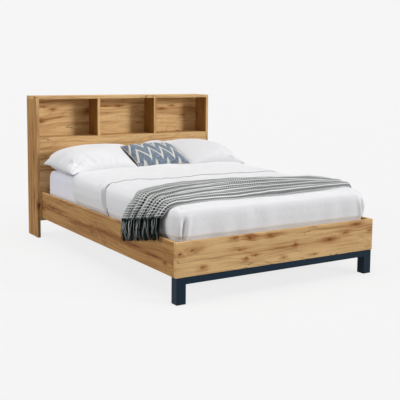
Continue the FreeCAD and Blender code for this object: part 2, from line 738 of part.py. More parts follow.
PILLOW_INNER = 26.0
PILLOW_OUTER = 732.0
PILLOW_SEAM_Z = 575.0
PILLOW_TILT = 3.0           # degrees, head side up
LEFT_CROWN = 145.0
LEFT_FIRMNESS = 3.4
RIGHT_CROWN = 154.0
RIGHT_FIRMNESS = 4.4
PILLOW_DEPTH = 62.0         # underside, before it is flattened by the mattress
PILLOW_DRAW_IN = 18.0
PILLOW_BACK = Y_HEAD - 26.0
PILLOW_FRONT_INNER = 447.0  # front corners stand just behind the duvet's bowed edge
PILLOW_FRONT_OUTER = 368.0


def pillow_form(crown, firmness):
    """Left pillow: drawn-in sides, ear corners, a full crown and a flattened underside."""
    middle_y = (PILLOW_BACK + PILLOW_FRONT_OUTER) / 2.0
    corners = [
        (-PILLOW_OUTER, PILLOW_FRONT_OUTER - middle_y),
        (-PILLOW_INNER, PILLOW_FRONT_INNER - middle_y),
        (-PILLOW_INNER, PILLOW_BACK - middle_y),
        (-PILLOW_OUTER, PILLOW_BACK - middle_y),
    ]
    solid = pad_form(corners, PILLOW_DRAW_IN, crown, PILLOW_DEPTH, firmness)
    solid.Placement = FreeCAD.Placement(
        Vector(0, middle_y, PILLOW_SEAM_Z), FreeCAD.Rotation(Vector(1, 0, 0), PILLOW_TILT))
    rest = box(-PILLOW_OUTER, 0, 0, Y_HEAD, 0, MATTRESS_TOP + SOFT_GAP)
    return solid.cut(rest)


CUSHION_HALF = 223.0
CUSHION_DEPTH = 343.0
CUSHION_CROWN = 60.0
CUSHION_DRAW_IN = 14.0
CUSHION_FIRMNESS = 2.6
CUSHION_LEAN = 22.0
CUSHION_PLACE = Vector(84.0, 441.0, 562.0)
DENT_MARGIN = 10.0          # the dent is wider and deeper than the cushion in it
DENT_CROWN = CUSHION_CROWN + 7.0
DENT_RISE = 190.0           # the dent is open upwards, the way the cushion lifts off


def cushion_placement():
    lean = FreeCAD.Rotation(Vector(1, 0, 0), CUSHION_LEAN)
    return FreeCAD.Placement(CUSHION_PLACE, lean)


def cushion_form():
    """Oblong scatter cushion leaning back on the pillows."""
    corners = [
        (-CUSHION_HALF, 0.0),
        (CUSHION_HALF, 0.0),
        (CUSHION_HALF, CUSHION_DEPTH),
        (-CUSHION_HALF, CUSHION_DEPTH),
    ]
    solid = pad_form(
        corners, CUSHION_DRAW_IN, CUSHION_CROWN, CUSHION_CROWN, CUSHION_FIRMNESS)
    solid.Placement = cushion_placement()
    return solid


def cushion_dent(side):
    """Space that the cushion takes from a pillow, on the left (-1) or the right (1).

    It follows the cushion's underside towards its own side, and keeps the full depth
    on the other, so the pillow can slide out sideways.
    """
    half_length = CUSHION_DEPTH / 2.0 + DENT_MARGIN
    half_width = CUSHION_HALF + DENT_MARGIN
    inwards = PAD_CONTOURS[::-1]
    places = [-share for share in PAD_CONTOURS] + list(inwards)
    rings = []
    for reach in (-1.0,) + inwards:
        x = side * reach * half_width
        belly = []
        for place in places:
            full = fullness(max(reach, abs(place)), CUSHION_FIRMNESS)
            depth = DENT_CROWN * full + SEAM / 2.0 + SOFT_GAP
            belly.append(Vector(x, CUSHION_DEPTH / 2.0 + place * half_length, -depth))
        lid = [Vector(x, point.y, DENT_RISE) for point in (belly[-1], belly[0])]
        rings.append(belly + lid)
    solid = skinned(rings)
    solid.Placement = cushion_placement()
    return solid


THROW_THICK = 6.0
THROW_WAVE = 11.0
THROW_FOLDS = 3
THROW_WAVE_STEPS = 24
THROW_TOP = 557.0           # underside of the throw between its folds
THROW_SIDE = 729.0          # inner side of the hanging ends, outside the side rails
THROW_BEND = 80.0
THROW_FRINGE_TOP = 400.0
THROW_FRINGE_END = 240.0    # lowest point of the fringe
# place across the bed, then the throw's foot and head edges along it
THROW_TOP_EDGES = (
    (-640.0, -1010.0, -530.0),
    (-480.0, -1012.0, -440.0),
    (-240.0, -1015.0, -370.0),
    (60.0, -1018.0, -374.0),
    (340.0, -1020.0, -425.0),
    (640.0, -1040.0, -540.0),
)
# foot and head edges round the bend and down to the fringe's end, top one first
THROW_LEFT_EDGES = ((-1008, -540), (-1004, -590), (-996, -575), (-975, -530), (-965, -478))
THROW_RIGHT_EDGES = ((-1042, -550), (-1046, -610), (-1046, -650), (-1040, -655), (-1035, -650))


def throw_section(origin, normal, y_foot, y_head):
    """Wavy strip: soft folds run along the throw, thickness stays even."""
    lower = []
    for index in range(THROW_WAVE_STEPS + 1):
        t = index / THROW_WAVE_STEPS
        out = THROW_WAVE * (1.0 - math.cos(2.0 * math.pi * THROW_FOLDS * t))
        lower.append(origin + Vector(0, y_foot + (y_head - y_foot) * t, 0) + normal * out)
    upper = [point + normal * THROW_THICK for point in lower]
    return lower + upper[::-1]


def throw_end(side, edges):
    """Stations round the edge of the bed and down to the fringe, top one first."""
    x_middle = side * (THROW_SIDE - THROW_BEND)
    z_middle = THROW_TOP - THROW_BEND
    rings = []
    for degrees, (y_foot, y_head) in zip((0.0, 45.0, 90.0), edges[:3]):
        angle = math.radians(degrees)
        normal = Vector(side * math.sin(angle), 0, math.cos(angle))
        centre = Vector(x_middle, 0, z_middle)
        rings.append(throw_section(centre + normal * THROW_BEND, normal, y_foot, y_head))
    outward = Vector(side, 0, 0)
    for z, (y_foot, y_head) in zip((THROW_FRINGE_TOP, THROW_FRINGE_END), edges[3:]):
        rings.append(throw_section(Vector(side * THROW_SIDE, 0, z), outward, y_foot, y_head))
    return rings


def throw_form():
    """Throw laid across the bed, over both sides and down to the end of its fringe."""
    rings = throw_end(-1, THROW_LEFT_EDGES)[::-1]
    for x, y_foot, y_head in THROW_TOP_EDGES:
        rings.append(throw_section(Vector(x, 0, THROW_TOP), Vector(0, 0, 1), y_foot, y_head))
    rings += throw_end(1, THROW_RIGHT_EDGES)
    return skinned(rings)


def soft_goods():
    parts["mattress"] = mattress_form()
    parts["duvet"] = duvet()
    parts["scatter_cushion"] = cushion_form()
    left = pillow_form(LEFT_CROWN, LEFT_FIRMNESS)
    right = mirrored(pillow_form(RIGHT_CROWN, RIGHT_FIRMNESS))
    parts["pillow_left"] = left.cut(cushion_dent(-1))
    parts["pillow_right"] = right.cut(cushion_dent(1))
    parts["throw"] = throw_form()


# ---------------------------------------------------------------- assembly
DRILLED = (
    "headboard_side_left", "headboard_side_right", "headboard_top", "headboard_front_board",
    "headboard_shelf", "bookcase_back", "rear_stretcher", "divider_left", "divider_right",
    "side_rail_left", "side_rail_right", "footboard", "slat_ledge_left", "slat_ledge_right",
    "centre_rail", "slat_01", "slat_%02d" % SLAT_COUNT,
)
HARDWARE = (
    "cam_locks", "cam_bolts", "wood_dowels", "back_panel_screws", "wood_screws",
    "threaded_inserts", "frame_bolts",
)


def drill_boards():
    """Every board gets exactly the holes that its fasteners fill."""
    for name in DRILLED:
        solid = parts[name]
        for hardware in HARDWARE:
            for fastener in parts[hardware].Solids:
                if solid.BoundBox.intersect(fastener.BoundBox):
                    solid = solid.cut(fastener)
        parts[name] = solid


def build():
    headboard_panels()
    headboard_glides()
    headboard_hardware()
    back_screws()
    rails_and_footboard()
    bracket_screws, bracket_bolts, bracket_inserts = corner_brackets()
    ledge_screws = slat_ledges()
    slat_screws = slats()
    hanger_bolts, hanger_inserts = centre_rail()
    leg_screws = centre_legs()
    tab_bolts, tab_inserts = foot_frame()
    parts["wood_screws"] = group(bracket_screws + ledge_screws + slat_screws + leg_screws)
    parts["frame_bolts"] = group(bracket_bolts + hanger_bolts + tab_bolts)
    parts["threaded_inserts"] = group(bracket_inserts + hanger_inserts + tab_inserts)
    drill_boards()
    soft_goods()


build()
for name, shape in parts.items():
    if not shape.isValid():
        raise RuntimeError(name + " is not a valid shape")
    shape.exportStep("parts/" + name + ".step")
print(len(parts), "nodes written")
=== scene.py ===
import math

import bpy
import numpy as np
from bpy.props import FloatProperty, FloatVectorProperty, IntProperty, PointerProperty
from mathutils import Euler, Matrix, Vector
from mathutils.bvhtree import BVHTree


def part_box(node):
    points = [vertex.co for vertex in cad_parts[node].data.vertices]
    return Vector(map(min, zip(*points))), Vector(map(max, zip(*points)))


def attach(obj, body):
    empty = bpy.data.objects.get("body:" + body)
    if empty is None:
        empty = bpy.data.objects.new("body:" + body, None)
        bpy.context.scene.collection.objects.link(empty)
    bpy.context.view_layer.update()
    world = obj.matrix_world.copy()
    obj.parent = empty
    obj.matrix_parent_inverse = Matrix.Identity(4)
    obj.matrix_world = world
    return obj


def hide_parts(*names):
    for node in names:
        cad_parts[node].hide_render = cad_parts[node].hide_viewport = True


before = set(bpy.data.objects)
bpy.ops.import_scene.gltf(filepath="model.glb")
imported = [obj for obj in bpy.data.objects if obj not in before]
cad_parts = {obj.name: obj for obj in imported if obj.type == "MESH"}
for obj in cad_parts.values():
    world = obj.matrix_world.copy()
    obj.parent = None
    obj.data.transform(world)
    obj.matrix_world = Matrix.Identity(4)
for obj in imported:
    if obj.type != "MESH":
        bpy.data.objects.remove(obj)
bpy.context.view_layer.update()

bl_info = {
    "name": "Bookcase headboard bed",
    "version": (1, 0, 0),
    "blender": (4, 5, 0),
    "location": "3D View > Sidebar > Bed",
    "description": "Finishes and bedding for a bookcase headboard bed",
    "category": "Object",
}


# ------------------------------------------------------------------ settings
def colour_setting(name, description, default):
    return FloatVectorProperty(
        name=name, description=description, default=default, subtype="COLOR", min=0.0, max=1.0)


def number_setting(name, description, default):
    return FloatProperty(name=name, description=description, default=default)


def length_setting(name, description, default):
    return FloatProperty(name=name, description=description, default=default, unit="LENGTH")


def angle_setting(name, description, degrees):
    return FloatProperty(
        name=name, description=description, default=math.radians(degrees), subtype="ANGLE")


class StudioSettings(bpy.types.PropertyGroup):
    camera_place: FloatVectorProperty(
        name="Camera place", description="Where the camera stands",
        default=(-2.83685, -4.75975, 1.28763), subtype="XYZ", unit="LENGTH")
    camera_turn: angle_setting("Camera turn", "Heading, clockwise from +Y seen from above", 31.8327)
    camera_dip: angle_setting("Camera dip", "How far the camera looks down", 6.5194)
    camera_roll: angle_setting("Camera roll", "Lean of the camera about its sight line", 0.5077)
    camera_lens: number_setting("Lens", "Focal length in mm", 70.98)
    camera_shift: number_setting("Shift", "Vertical shift of the frame", -0.1)
    backdrop: colour_setting("Backdrop", "Colour of the floor and backdrop", (0.921, 0.921, 0.921))
    key: number_setting("Key", "Strength of the key light", 1.88)
    top: number_setting("Top", "Strength of the light from above", 1.60)
    side: number_setting("Side", "Strength of the light from the left", 1.42)
    ambient: number_setting("Ambient", "Strength of the even room light", 0.16)
    bounce: number_setting("Bounce", "Light that the floor throws back", 0.22)


class OakSettings(bpy.types.PropertyGroup):
    light: colour_setting("Light wood", "Pale part of the grain", (0.76, 0.50, 0.235))
    dark: colour_setting("Dark wood", "Dark part of the grain", (0.385, 0.172, 0.055))
    knot: colour_setting("Knots", "Knots and checks", (0.085, 0.032, 0.012))
    knots: number_setting("Knot share", "Share of places with a knot", 0.20)


class SteelSettings(bpy.types.PropertyGroup):
    paint: colour_setting("Powder coat", "Colour of the foot frame", (0.0050, 0.0180, 0.0340))
    roughness: number_setting("Roughness", "Roughness of the coat", 0.42)


class BeddingSettings(bpy.types.PropertyGroup):
    cotton: colour_setting("Cotton", "Duvet and pillow cases", (0.845, 0.845, 0.86))
    sheet: colour_setting("Fitted sheet", "Mattress cover", (0.85, 0.855, 0.945))
    # the piping is a real seam, and its dark colour is partly painted shade: it also stands for the
    # shadow in the crease that the cord lies in
    piping: colour_setting("Piping", "Cord along the turned-down edge", (0.30, 0.27, 0.23))
    duvet_grain: length_setting("Duvet cell", "Size of the faces of the duvet", 0.008)
    left_crown: length_setting("Left crown", "Height of the left pillow over its seam", 0.131)
    right_crown: length_setting("Right crown", "Height of the right pillow over its seam", 0.140)
    pillow_cells: IntProperty(name="Pillow cells", description="Faces along a pillow", default=60)


class CushionSettings(bpy.types.PropertyGroup):
    ground: colour_setting("Ground", "Main colour of the cover", (0.155, 0.205, 0.275))
    line: colour_setting("Line", "Zigzag lines", (0.70, 0.69, 0.62))
    piping: colour_setting("Edge cord", "Cord round the cushion", (0.66, 0.55, 0.49))
    period: length_setting("Zigzag period", "One tooth across the cushion", 0.100)
    spacing: length_setting("Zigzag spacing", "From one row to the next", 0.155)
    swing: length_setting("Zigzag swing", "From valley to peak", 0.135)
    line_width: length_setting("Line width", "Width of a line across the cushion", 0.0135)


class ThrowSettings(bpy.types.PropertyGroup):
    pale: colour_setting("Pale yarn", "Ground of the weave", (0.92, 0.93, 0.92))
    dark: colour_setting("Dark yarn", "Dots and fringe", (0.005, 0.012, 0.013))
    pitch: length_setting("Dot pitch", "From one dot to the next", 0.0172)
    width: length_setting("Width", "Flat width of the throw", 0.70)
    fringe: length_setting("Fringe", "Length of the fringe", 0.138)
    strands: IntProperty(name="Strands", description="Strands at each end", default=260)


# ------------------------------------------------------------------ node wiring
class Value:
    """What a node gives; sums written with it add the math nodes that work them out."""

    def __init__(self, graph, socket):
        self.graph = graph
        self.socket = socket

    def __add__(self, other):
        return self.graph.maths("ADD", self, other)

    def __sub__(self, other):
        return self.graph.maths("SUBTRACT", self, other)

    def __rsub__(self, other):
        return self.graph.maths("SUBTRACT", other, self)

    def __mul__(self, other):
        return self.graph.maths("MULTIPLY", self, other)

    def __truediv__(self, other):
        return self.graph.maths("DIVIDE", self, other)

    def __rtruediv__(self, other):
        return self.graph.maths("DIVIDE", other, self)

    def __mod__(self, other):
        return self.graph.maths("MODULO", self, other)

    def __pow__(self, other):
        return self.graph.maths("POWER", self, other)

    def __abs__(self):
        return self.graph.maths("ABSOLUTE", self)

    __radd__ = __add__
    __rmul__ = __mul__


class Graph:
    """Adds nodes to one tree and joins them up."""

    def __init__(self, tree):
        self.tree = tree

    def put(self, kind, inputs=None, **settings):
        node = self.tree.nodes.new(kind)
        for name, value in settings.items():
            setattr(node, name, value)
        for key, value in (inputs or {}).items():
            self.feed(node.inputs[key], value)
        return node

    def feed(self, socket, value):
        """Join a value to a socket, or set the socket to a plain number or colour."""
        if isinstance(value, Value):
            self.tree.links.new(value.socket, socket)
        elif isinstance(value, bpy.types.NodeSocket):
            self.tree.links.new(value, socket)
        else:
            socket.default_value = value

    def out(self, node, key=0):
        return Value(self, node.outputs[key])

    def maths(self, operation, *values):
        node = self.put("ShaderNodeMath", operation=operation)
        for socket, value in zip(node.inputs, values):
            self.feed(socket, value)
        return self.out(node)

    def sine(self, value):
        return self.maths("SINE", value)

    def fading(self, value):
        """1 at 0, and less and less as the value grows."""
        return self.maths("EXPONENT", value * -1.0)

    def largest(self, first, *others):
        for other in others:
            first = self.maths("MAXIMUM", first, other)
        return first

    def mixed(self, share, first, second, mode="MIX"):
        node = self.put("ShaderNodeMix", data_type="RGBA", blend_type=mode)
        for index, value in ((0, share), (6, first), (7, second)):
            self.feed(node.inputs[index], value)
        return self.out(node, 2)

    def step(self, value, low, high):
        """Smooth step from 0 at low to 1 at high."""
        node = self.put("ShaderNodeMapRange", interpolation_type="SMOOTHSTEP")
        for index, given in enumerate((value, low, high)):
            self.feed(node.inputs[index], given)
        return self.out(node)

    def split(self, vector):
        node = self.put("ShaderNodeSeparateXYZ", {0: vector})
        return [self.out(node, index) for index in range(3)]

    def join(self, x, y, z):
        return self.out(self.put("ShaderNodeCombineXYZ", {0: x, 1: y, 2: z}))

    def noise(self, vector, scale=1.0, detail=2.0, roughness=0.5):
        inputs = {"Vector": vector, "Scale": scale, "Detail": detail, "Roughness": roughness}
        return self.out(self.put("ShaderNodeTexNoise", inputs))

    def own_place(self):
        """Place in the piece's own coordinates, in metres."""
        return self.out(self.put("ShaderNodeTexCoord"), "Object")


SOCKETS = {"vector": "NodeSocketVector", "number": "NodeSocketFloat", "colour": "NodeSocketColor"}
GROUPS = {}


def new_group(name, takes, gives):
    """Empty node group with named sockets; returns its graph, inputs and output sockets.

    takes and gives hold one kind of socket per label.
    """
    tree = bpy.data.node_groups.new(name, "ShaderNodeTree")
    for labels, direction in ((takes, "INPUT"), (gives, "OUTPUT")):
        for label, kind in labels.items():
            tree.interface.new_socket(name=label, in_out=direction, socket_type=SOCKETS[kind])
    graph = Graph(tree)
    start = graph.put("NodeGroupInput")
    end = graph.put("NodeGroupOutput")
    GROUPS[name] = tree
    return graph, {label: graph.out(start, label) for label in takes}, end.inputs


def place_group(graph, name, **values):
    """Add a group, feed it the values by label and return what it gives by label."""
    node = graph.put("ShaderNodeGroup", node_tree=GROUPS[name])
    for label, value in values.items():
        graph.feed(node.inputs[label], value)
    return {output.name: graph.out(node, output.name) for output in node.outputs}


# ------------------------------------------------------------------ node groups
KNOT_FRAY = (0.060, 0.026)      # how far a knot's outline frays along the grain and across it
KNOT_BULGE = 5.0                # the grain's swing round a knot, in squares of its radius
KNOT_REACH = 0.03               # how fast the swing, the core and the halo of a knot fade
KNOT_CORE = 1.7
KNOT_HALO = 0.10
KNOT_CELLS = (2.1, 6.5)         # places for a knot in a metre along the grain and across it
KNOT_SIZES = (0.004, 0.008)     # least radius of a scattered knot, and what is added to it
KNOT_STRETCH = 1.7

# noise layers of the wood: scales along the grain, across it and through the board, then
# detail and roughness
GRAIN = {
    "sway": (1.7, 3.4, 3.0, 2.0, 0.5),
    "broad": (1.1, 15.0, 9.0, 3.0, 0.62),
    "band": (1.9, 60.0, 40.0, 3.0, 0.65),
    "fibre": (6.0, 330.0, 330.0, 2.0, 0.5),
    "pore": (34.0, 900.0, 900.0, 0.0, 0.5),
    "arches": (0.75, 4.2, 3.0, 1.0, 0.5),
    "crack": (1.5, 11.0, 2.0, 3.0, 0.6),
    "gate": (2.3, 9.0, 2.0, 1.0, 0.5),
    "stain": (2.2, 7.0, 5.0, 2.0, 0.5),
    "streak": (3.2, 150.0, 90.0, 3.0, 0.7),
    "bundle": (1.6, 13.0, 8.0, 2.0, 0.5),
}
# where a layer starts to show and where it shows in full, in shares of its noise
SHOWS = {
    "broad": (0.42, 0.74), "band": (0.44, 0.72), "gate": (0.52, 0.60), "stain": (0.60, 0.80),
    "streak": (0.50, 0.66), "bundle": (0.45, 0.62), "pore": (0.66, 0.78),
}
CRACK_WIDTH = (0.008, 0.001)    # of the thin checks, in shares of their noise
ARCH_WIDTH = (0.17, 0.0)
SWAY = 0.085                    # how far the grain wanders across the board, in metres
ARCHES = 17.0                   # cathedral lines in one swing of their noise
# share of each layer in the wood's tone, which runs from light at 0 to dark at 1
TONE_SHARES = {
    "broad": 0.62, "band": 0.48, "arches": 0.20, "streak": 0.45, "fibre": 0.60, "halo": 0.70}
PALEST_TONE = -0.06
WARM_STAIN = (0.86, 0.62, 0.45)


def make_knot_group():
    """One knot: how it pushes the grain aside, its dark core and its stained halo."""
    graph, takes, gives = new_group(
        "Single knot",
        dict(Vector="vector", Along="number", Across="number", Radius="number", Stretch="number"),
        dict(Shift="number", Core="number", Halo="number"))
    u, v, _ = graph.split(takes["Vector"])
    ragged = graph.put("ShaderNodeTexNoise", {"Vector": takes["Vector"], "Scale": 55.0,
                                              "Detail": 3.0, "Roughness": 0.7})
    ragged_u, ragged_v, _ = graph.split(graph.out(ragged, "Color"))
    from_u = u + (ragged_u - 0.5) * KNOT_FRAY[0] - takes["Along"]
    from_v = v + (ragged_v - 0.5) * KNOT_FRAY[1] - takes["Across"]
    square = (from_u / takes["Stretch"]) ** 2.0 + from_v ** 2.0
    ratio = square / takes["Radius"] ** 2.0
    bulge = KNOT_BULGE / (ratio + KNOT_BULGE)
    graph.feed(gives["Shift"], from_v * bulge * graph.fading(ratio * KNOT_REACH))
    graph.feed(gives["Core"], graph.fading(ratio * KNOT_CORE))
    graph.feed(gives["Halo"], graph.fading(ratio * KNOT_HALO))


def make_wood_group():
    """Rustic wood: bands, fibres, pores, cathedral lines, knots and checks.

    The vector runs along the grain, across the board and through it, in metres.
    """
    graph, takes, gives = new_group(
        "Rustic wood",
        dict(Vector="vector", Seed="number", Shift="number", Core="number", Halo="number",
             Light="colour", Dark="colour", Knot="colour", Knots="number"),
        dict(Color="colour", Roughness="number", Height="number"))
    u, v, w = graph.split(takes["Vector"])
    u = u + takes["Seed"] * 3.17
    v = v + takes["Seed"] * 1.31

    def layer(name, across):
        along_scale, across_scale, through_scale, detail, roughness = GRAIN[name]
        place = graph.join(u * along_scale, across * across_scale, w * through_scale)
        return graph.noise(place, 1.0, detail, roughness)

    def shown(name, across):
        return graph.step(layer(name, across), *SHOWS[name])

    # scattered knots: at most one in each cell of a wide grid
    cell_u, cell_v = KNOT_CELLS
    cells = graph.put(
        "ShaderNodeTexVoronoi", {"Vector": graph.join(u * cell_u, v * cell_v, 0.0), "Scale": 1.0},
        voronoi_dimensions="2D")
    place_u, place_v, _ = graph.split(graph.out(cells, "Position"))
    chance, size, _ = graph.split(graph.out(cells, "Color"))
    here = graph.maths("GREATER_THAN", takes["Knots"], chance)
    knot = place_group(
        graph, "Single knot", Vector=graph.join(u, v, 0.0), Along=place_u / cell_u,
        Across=place_v / cell_v, Radius=size * KNOT_SIZES[1] + KNOT_SIZES[0],
        Stretch=KNOT_STRETCH)
    core = graph.largest(knot["Core"] * here, takes["Core"])
    halo = graph.largest(knot["Halo"] * here, takes["Halo"])
    # the grain wanders a little and flows round the knots
    shift = knot["Shift"] * here + takes["Shift"]
    across = v - shift + (layer("sway", v) - 0.5) * SWAY
    band = layer("band", across)
    fibre = layer("fibre", across)
    arches = graph.maths("PINGPONG", layer("arches", across) * ARCHES, 0.5)
    # checks: thin dark isolines that come and go
    near = abs(layer("crack", across) - 0.5)
    check = graph.step(near, *CRACK_WIDTH) * shown("gate", v)
    halo = halo * (band * 1.5 + 0.15)
    shades = {
        "broad": shown("broad", across),
        "band": graph.step(band, *SHOWS["band"]),
        "arches": graph.step(arches, *ARCH_WIDTH),
        # thin dark streaks in bundles
        "streak": shown("streak", across) * shown("bundle", across),
        "fibre": fibre - 0.5,
        "halo": halo,
    }
    tone = sum((shade * TONE_SHARES[name] for name, shade in shades.items()), PALEST_TONE)
    tone = graph.maths("MINIMUM", graph.largest(tone, 0.0), 1.0)
    colour = graph.mixed(tone, takes["Light"], takes["Dark"])
    warm = graph.mixed(1.0, colour, solid(WARM_STAIN), mode="MULTIPLY")
    red = graph.largest(shown("stain", v), halo)
    colour = graph.mixed(red * 0.55, colour, warm)
    dark = graph.largest(check * 0.85, core, shown("pore", across) * 0.38)
    graph.feed(gives["Color"], graph.mixed(dark * 0.92, colour, takes["Knot"]))
    graph.feed(gives["Roughness"], tone * -0.08 + 0.66)
    graph.feed(gives["Height"], fibre * 0.35 - dark)


def make_eased_edge_group():
    """Mask of the eased edges and corners of boards, which face none of the axes."""
    graph, takes, gives = new_group("Eased edge", dict(Normal="vector"), dict(Edge="number"))
    flat = graph.largest(*[abs(part) for part in graph.split(takes["Normal"])])
    graph.feed(gives["Edge"], graph.step(flat, 0.97, 0.80))


def make_cotton_group():
    """Closely woven cotton: threads both ways and a soft crumple."""
    graph, takes, gives = new_group(
        "Woven cotton",
        dict(Vector="vector", Colour="colour", Threads="number", Crumple="number"),
        dict(Color="colour", Height="number"))
    x, y, z = [graph.sine(part * takes["Threads"]) for part in graph.split(takes["Vector"])]
    weave = x * y + y * z + x * z
    crumple = graph.noise(takes["Vector"], scale=26.0, detail=4.0, roughness=0.55)
    shade = graph.noise(takes["Vector"], scale=5.0)
    graph.feed(gives["Height"], weave * 0.012 + crumple * takes["Crumple"])
    graph.feed(gives["Color"], graph.mixed(shade * 0.10, takes["Colour"],
                                           solid((0.58, 0.59, 0.64))))


# ------------------------------------------------------------------ materials
def solid(colour, factor=1.0):
    """Colour with full alpha, made lighter or darker by a factor."""
    return tuple(part * factor for part in colour) + (1.0,)


def new_material(name, **shader):
    """Material with one Principled shader; returns it, its graph and its shader node."""
    material = bpy.data.materials.new(name)
    material.use_nodes = True
    graph = Graph(material.node_tree)
    principled = material.node_tree.nodes["Principled BSDF"]
    for label, value in shader.items():
        principled.inputs[label.replace("_", " ")].default_value = value
    return material, graph, principled


def dress_shader(graph, principled, colour, roughness=None, bump=None):
    """Feed the shader its colour, and where given its roughness and bump.

    bump holds height, distance in metres and strength.
    """
    graph.feed(principled.inputs["Base Color"], colour)
    if roughness is not None:
        graph.feed(principled.inputs["Roughness"], roughness)
    if bump is not None:
        node = graph.put("ShaderNodeBump", dict(zip(("Height", "Distance", "Strength"), bump)))
        graph.feed(principled.inputs["Normal"], node.outputs[0])


def wood_material(name, grain, face, seed, light, dark, knot, knots, marked=(), broad=None):
    """Wood for one board; marked knots are (along, across, radius, stretch) in metres.

    grain and face name the axes of the grain and of the broad face; broad is painted light and
    shade, a tint multiplied into the board's broad faces.
    """
    material, graph, principled = new_material(name, Specular_IOR_Level=0.14)
    coordinates = graph.put("ShaderNodeTexCoord")
    parts = dict(zip("XYZ", graph.split(graph.out(coordinates, "Object"))))
    normal = graph.out(coordinates, "Normal")
    cross = ({"X", "Y", "Z"} - {grain, face}).pop()
    vector = graph.join(parts[grain], parts[cross], parts[face])
    shift, core, halo = 0.0, 0.0, 0.0
    for along, across, radius, stretch in marked:
        mark = place_group(graph, "Single knot", Vector=vector, Along=along, Across=across,
                           Radius=radius, Stretch=stretch)
        shift = mark["Shift"] + shift
        core = graph.largest(mark["Core"], core)
        halo = graph.largest(mark["Halo"], halo)
    wood = place_group(graph, "Rustic wood", Vector=vector, Seed=seed, Shift=shift, Core=core,
                       Halo=halo, Light=solid(light), Dark=solid(dark), Knot=solid(knot),
                       Knots=knots)
    edge = place_group(graph, "Eased edge", Normal=normal)["Edge"]
    pale = graph.mixed(1.0, wood["Color"], solid((1.18, 1.16, 1.12)), mode="MULTIPLY")
    worn = graph.mixed(edge * 0.8, wood["Color"], pale)
    # broad multiplies painted light and shade into the broad faces; from here worn holds the edge
    # wear together with that painted light and shade
    if broad is not None:
        painted_light_and_shade = graph.mixed(1.0, worn, solid(broad), mode="MULTIPLY")
        looks = abs(graph.split(normal)["XYZ".index(face)])
        worn = graph.mixed(graph.step(looks, 0.6, 0.9), worn, painted_light_and_shade)
    dress_shader(graph, principled, worn, wood["Roughness"], (wood["Height"], 0.0004, 0.5))
    return material


def painted_material(name, colour, roughness):
    """Powder coat: fine orange peel, a little dust on what faces up, paler worn edges."""
    material, graph, principled = new_material(name, Specular_IOR_Level=0.12)
    coordinates = graph.put("ShaderNodeTexCoord")
    place, normal = graph.out(coordinates, "Object"), graph.out(coordinates, "Normal")
    peel = graph.noise(place, scale=420.0)
    cloud = graph.noise(place, scale=9.0, detail=3.0)
    dust = graph.step(graph.split(normal)[2], 0.5, 1.0) * cloud * 0.02
    edge = place_group(graph, "Eased edge", Normal=normal)["Edge"]
    tone = graph.mixed(edge * 0.02 + dust, solid(colour), solid((0.35, 0.37, 0.40)))
    dress_shader(graph, principled, tone, cloud * 0.10 + (roughness - 0.05), (peel, 0.00012, 1.0))
    return material


def zinc_material():
    """Bright zinc plate with faint rolling lines."""
    material, graph, principled = new_material("Zinc plate", Metallic=1.0)
    place = graph.own_place()
    x, y, z = graph.split(place)
    lines = graph.noise(graph.join(x * 900.0, y * 900.0, z * 25.0), detail=1.0)
    cloud = graph.noise(place, scale=55.0, detail=3.0)
    tone = graph.mixed(cloud, solid((0.42, 0.43, 0.45)), solid((0.66, 0.67, 0.68)))
    dress_shader(graph, principled, tone, lines * 0.25 + 0.25, (lines, 0.00005, 1.0))
    return material


def plastic_material(name, colour):
    """Moulded plastic with a fine grain."""
    material, graph, principled = new_material(name, Specular_IOR_Level=0.4)
    grain = graph.noise(graph.own_place(), scale=900.0, detail=1.0)
    tone = graph.mixed(grain, solid(colour), solid(colour, 1.5))
    dress_shader(graph, principled, tone, grain * 0.2 + 0.45, (grain, 0.00008, 1.0))
    return material


def webbing_material():
    """Cotton tape woven in a fine herringbone."""
    material, graph, principled = new_material("Slat tape", Roughness=0.9)
    x, y, _ = graph.split(graph.own_place())
    twill = graph.sine((y + graph.maths("PINGPONG", x, 0.003)) * 3000.0)
    tone = graph.mixed(twill * 0.5 + 0.5, solid((0.50, 0.47, 0.41)), solid((0.70, 0.68, 0.62)))
    dress_shader(graph, principled, tone, bump=(twill, 0.0003, 1.0))
    return material


def cotton_material(name, colour, threads=3600.0):
    """Matt woven cotton with a faint sheen."""
    material, graph, principled = new_material(
        name, Roughness=0.86, Specular_IOR_Level=0.25, Sheen_Weight=0.12, Sheen_Roughness=0.4)
    cotton = place_group(graph, "Woven cotton", Vector=graph.own_place(), Colour=solid(colour),
                         Threads=threads, Crumple=1.0)
    dress_shader(graph, principled, cotton["Color"], bump=(cotton["Height"], 0.0035, 0.6))
    return material


def yarn_material(name, colour):
    """Plied yarn: strands twist round it and its colour varies a little."""
    material, graph, principled = new_material(name, Roughness=0.85, Specular_IOR_Level=0.12)
    place = graph.own_place()
    _, y, z = graph.split(place)
    twist = graph.sine((y + z) * 1400.0)
    cloud = graph.noise(place, scale=60.0)
    tone = graph.mixed(cloud, solid(colour, 0.6), solid(colour, 1.35))
    dress_shader(graph, principled, tone, bump=(twist, 0.0006, 1.0))
    return material


# ------------------------------------------------------------------ modelling helpers
def deselect():
    """Leave edit mode with nothing selected."""
    if bpy.context.mode != "OBJECT":
        bpy.ops.object.mode_set(mode="OBJECT")
    bpy.ops.object.select_all(action="DESELECT")


def take(piece):
    """Make one piece the only selected one, and the active one."""
    deselect()
    piece.select_set(True)
    bpy.context.view_layer.objects.active = piece


def apply_modifier(piece, kind, **settings):
    """Add a modifier with these settings and apply it."""
    take(piece)
    modifier = piece.modifiers.new(kind.title(), kind)
    for name, value in settings.items():
        setattr(modifier, name, value)
    bpy.ops.object.modifier_apply(modifier=modifier.name)


def give_material(piece, material):
    piece.data.materials.clear()
    piece.data.materials.append(material)


def smooth_shaded(piece):
    take(piece)
    bpy.ops.object.shade_smooth()


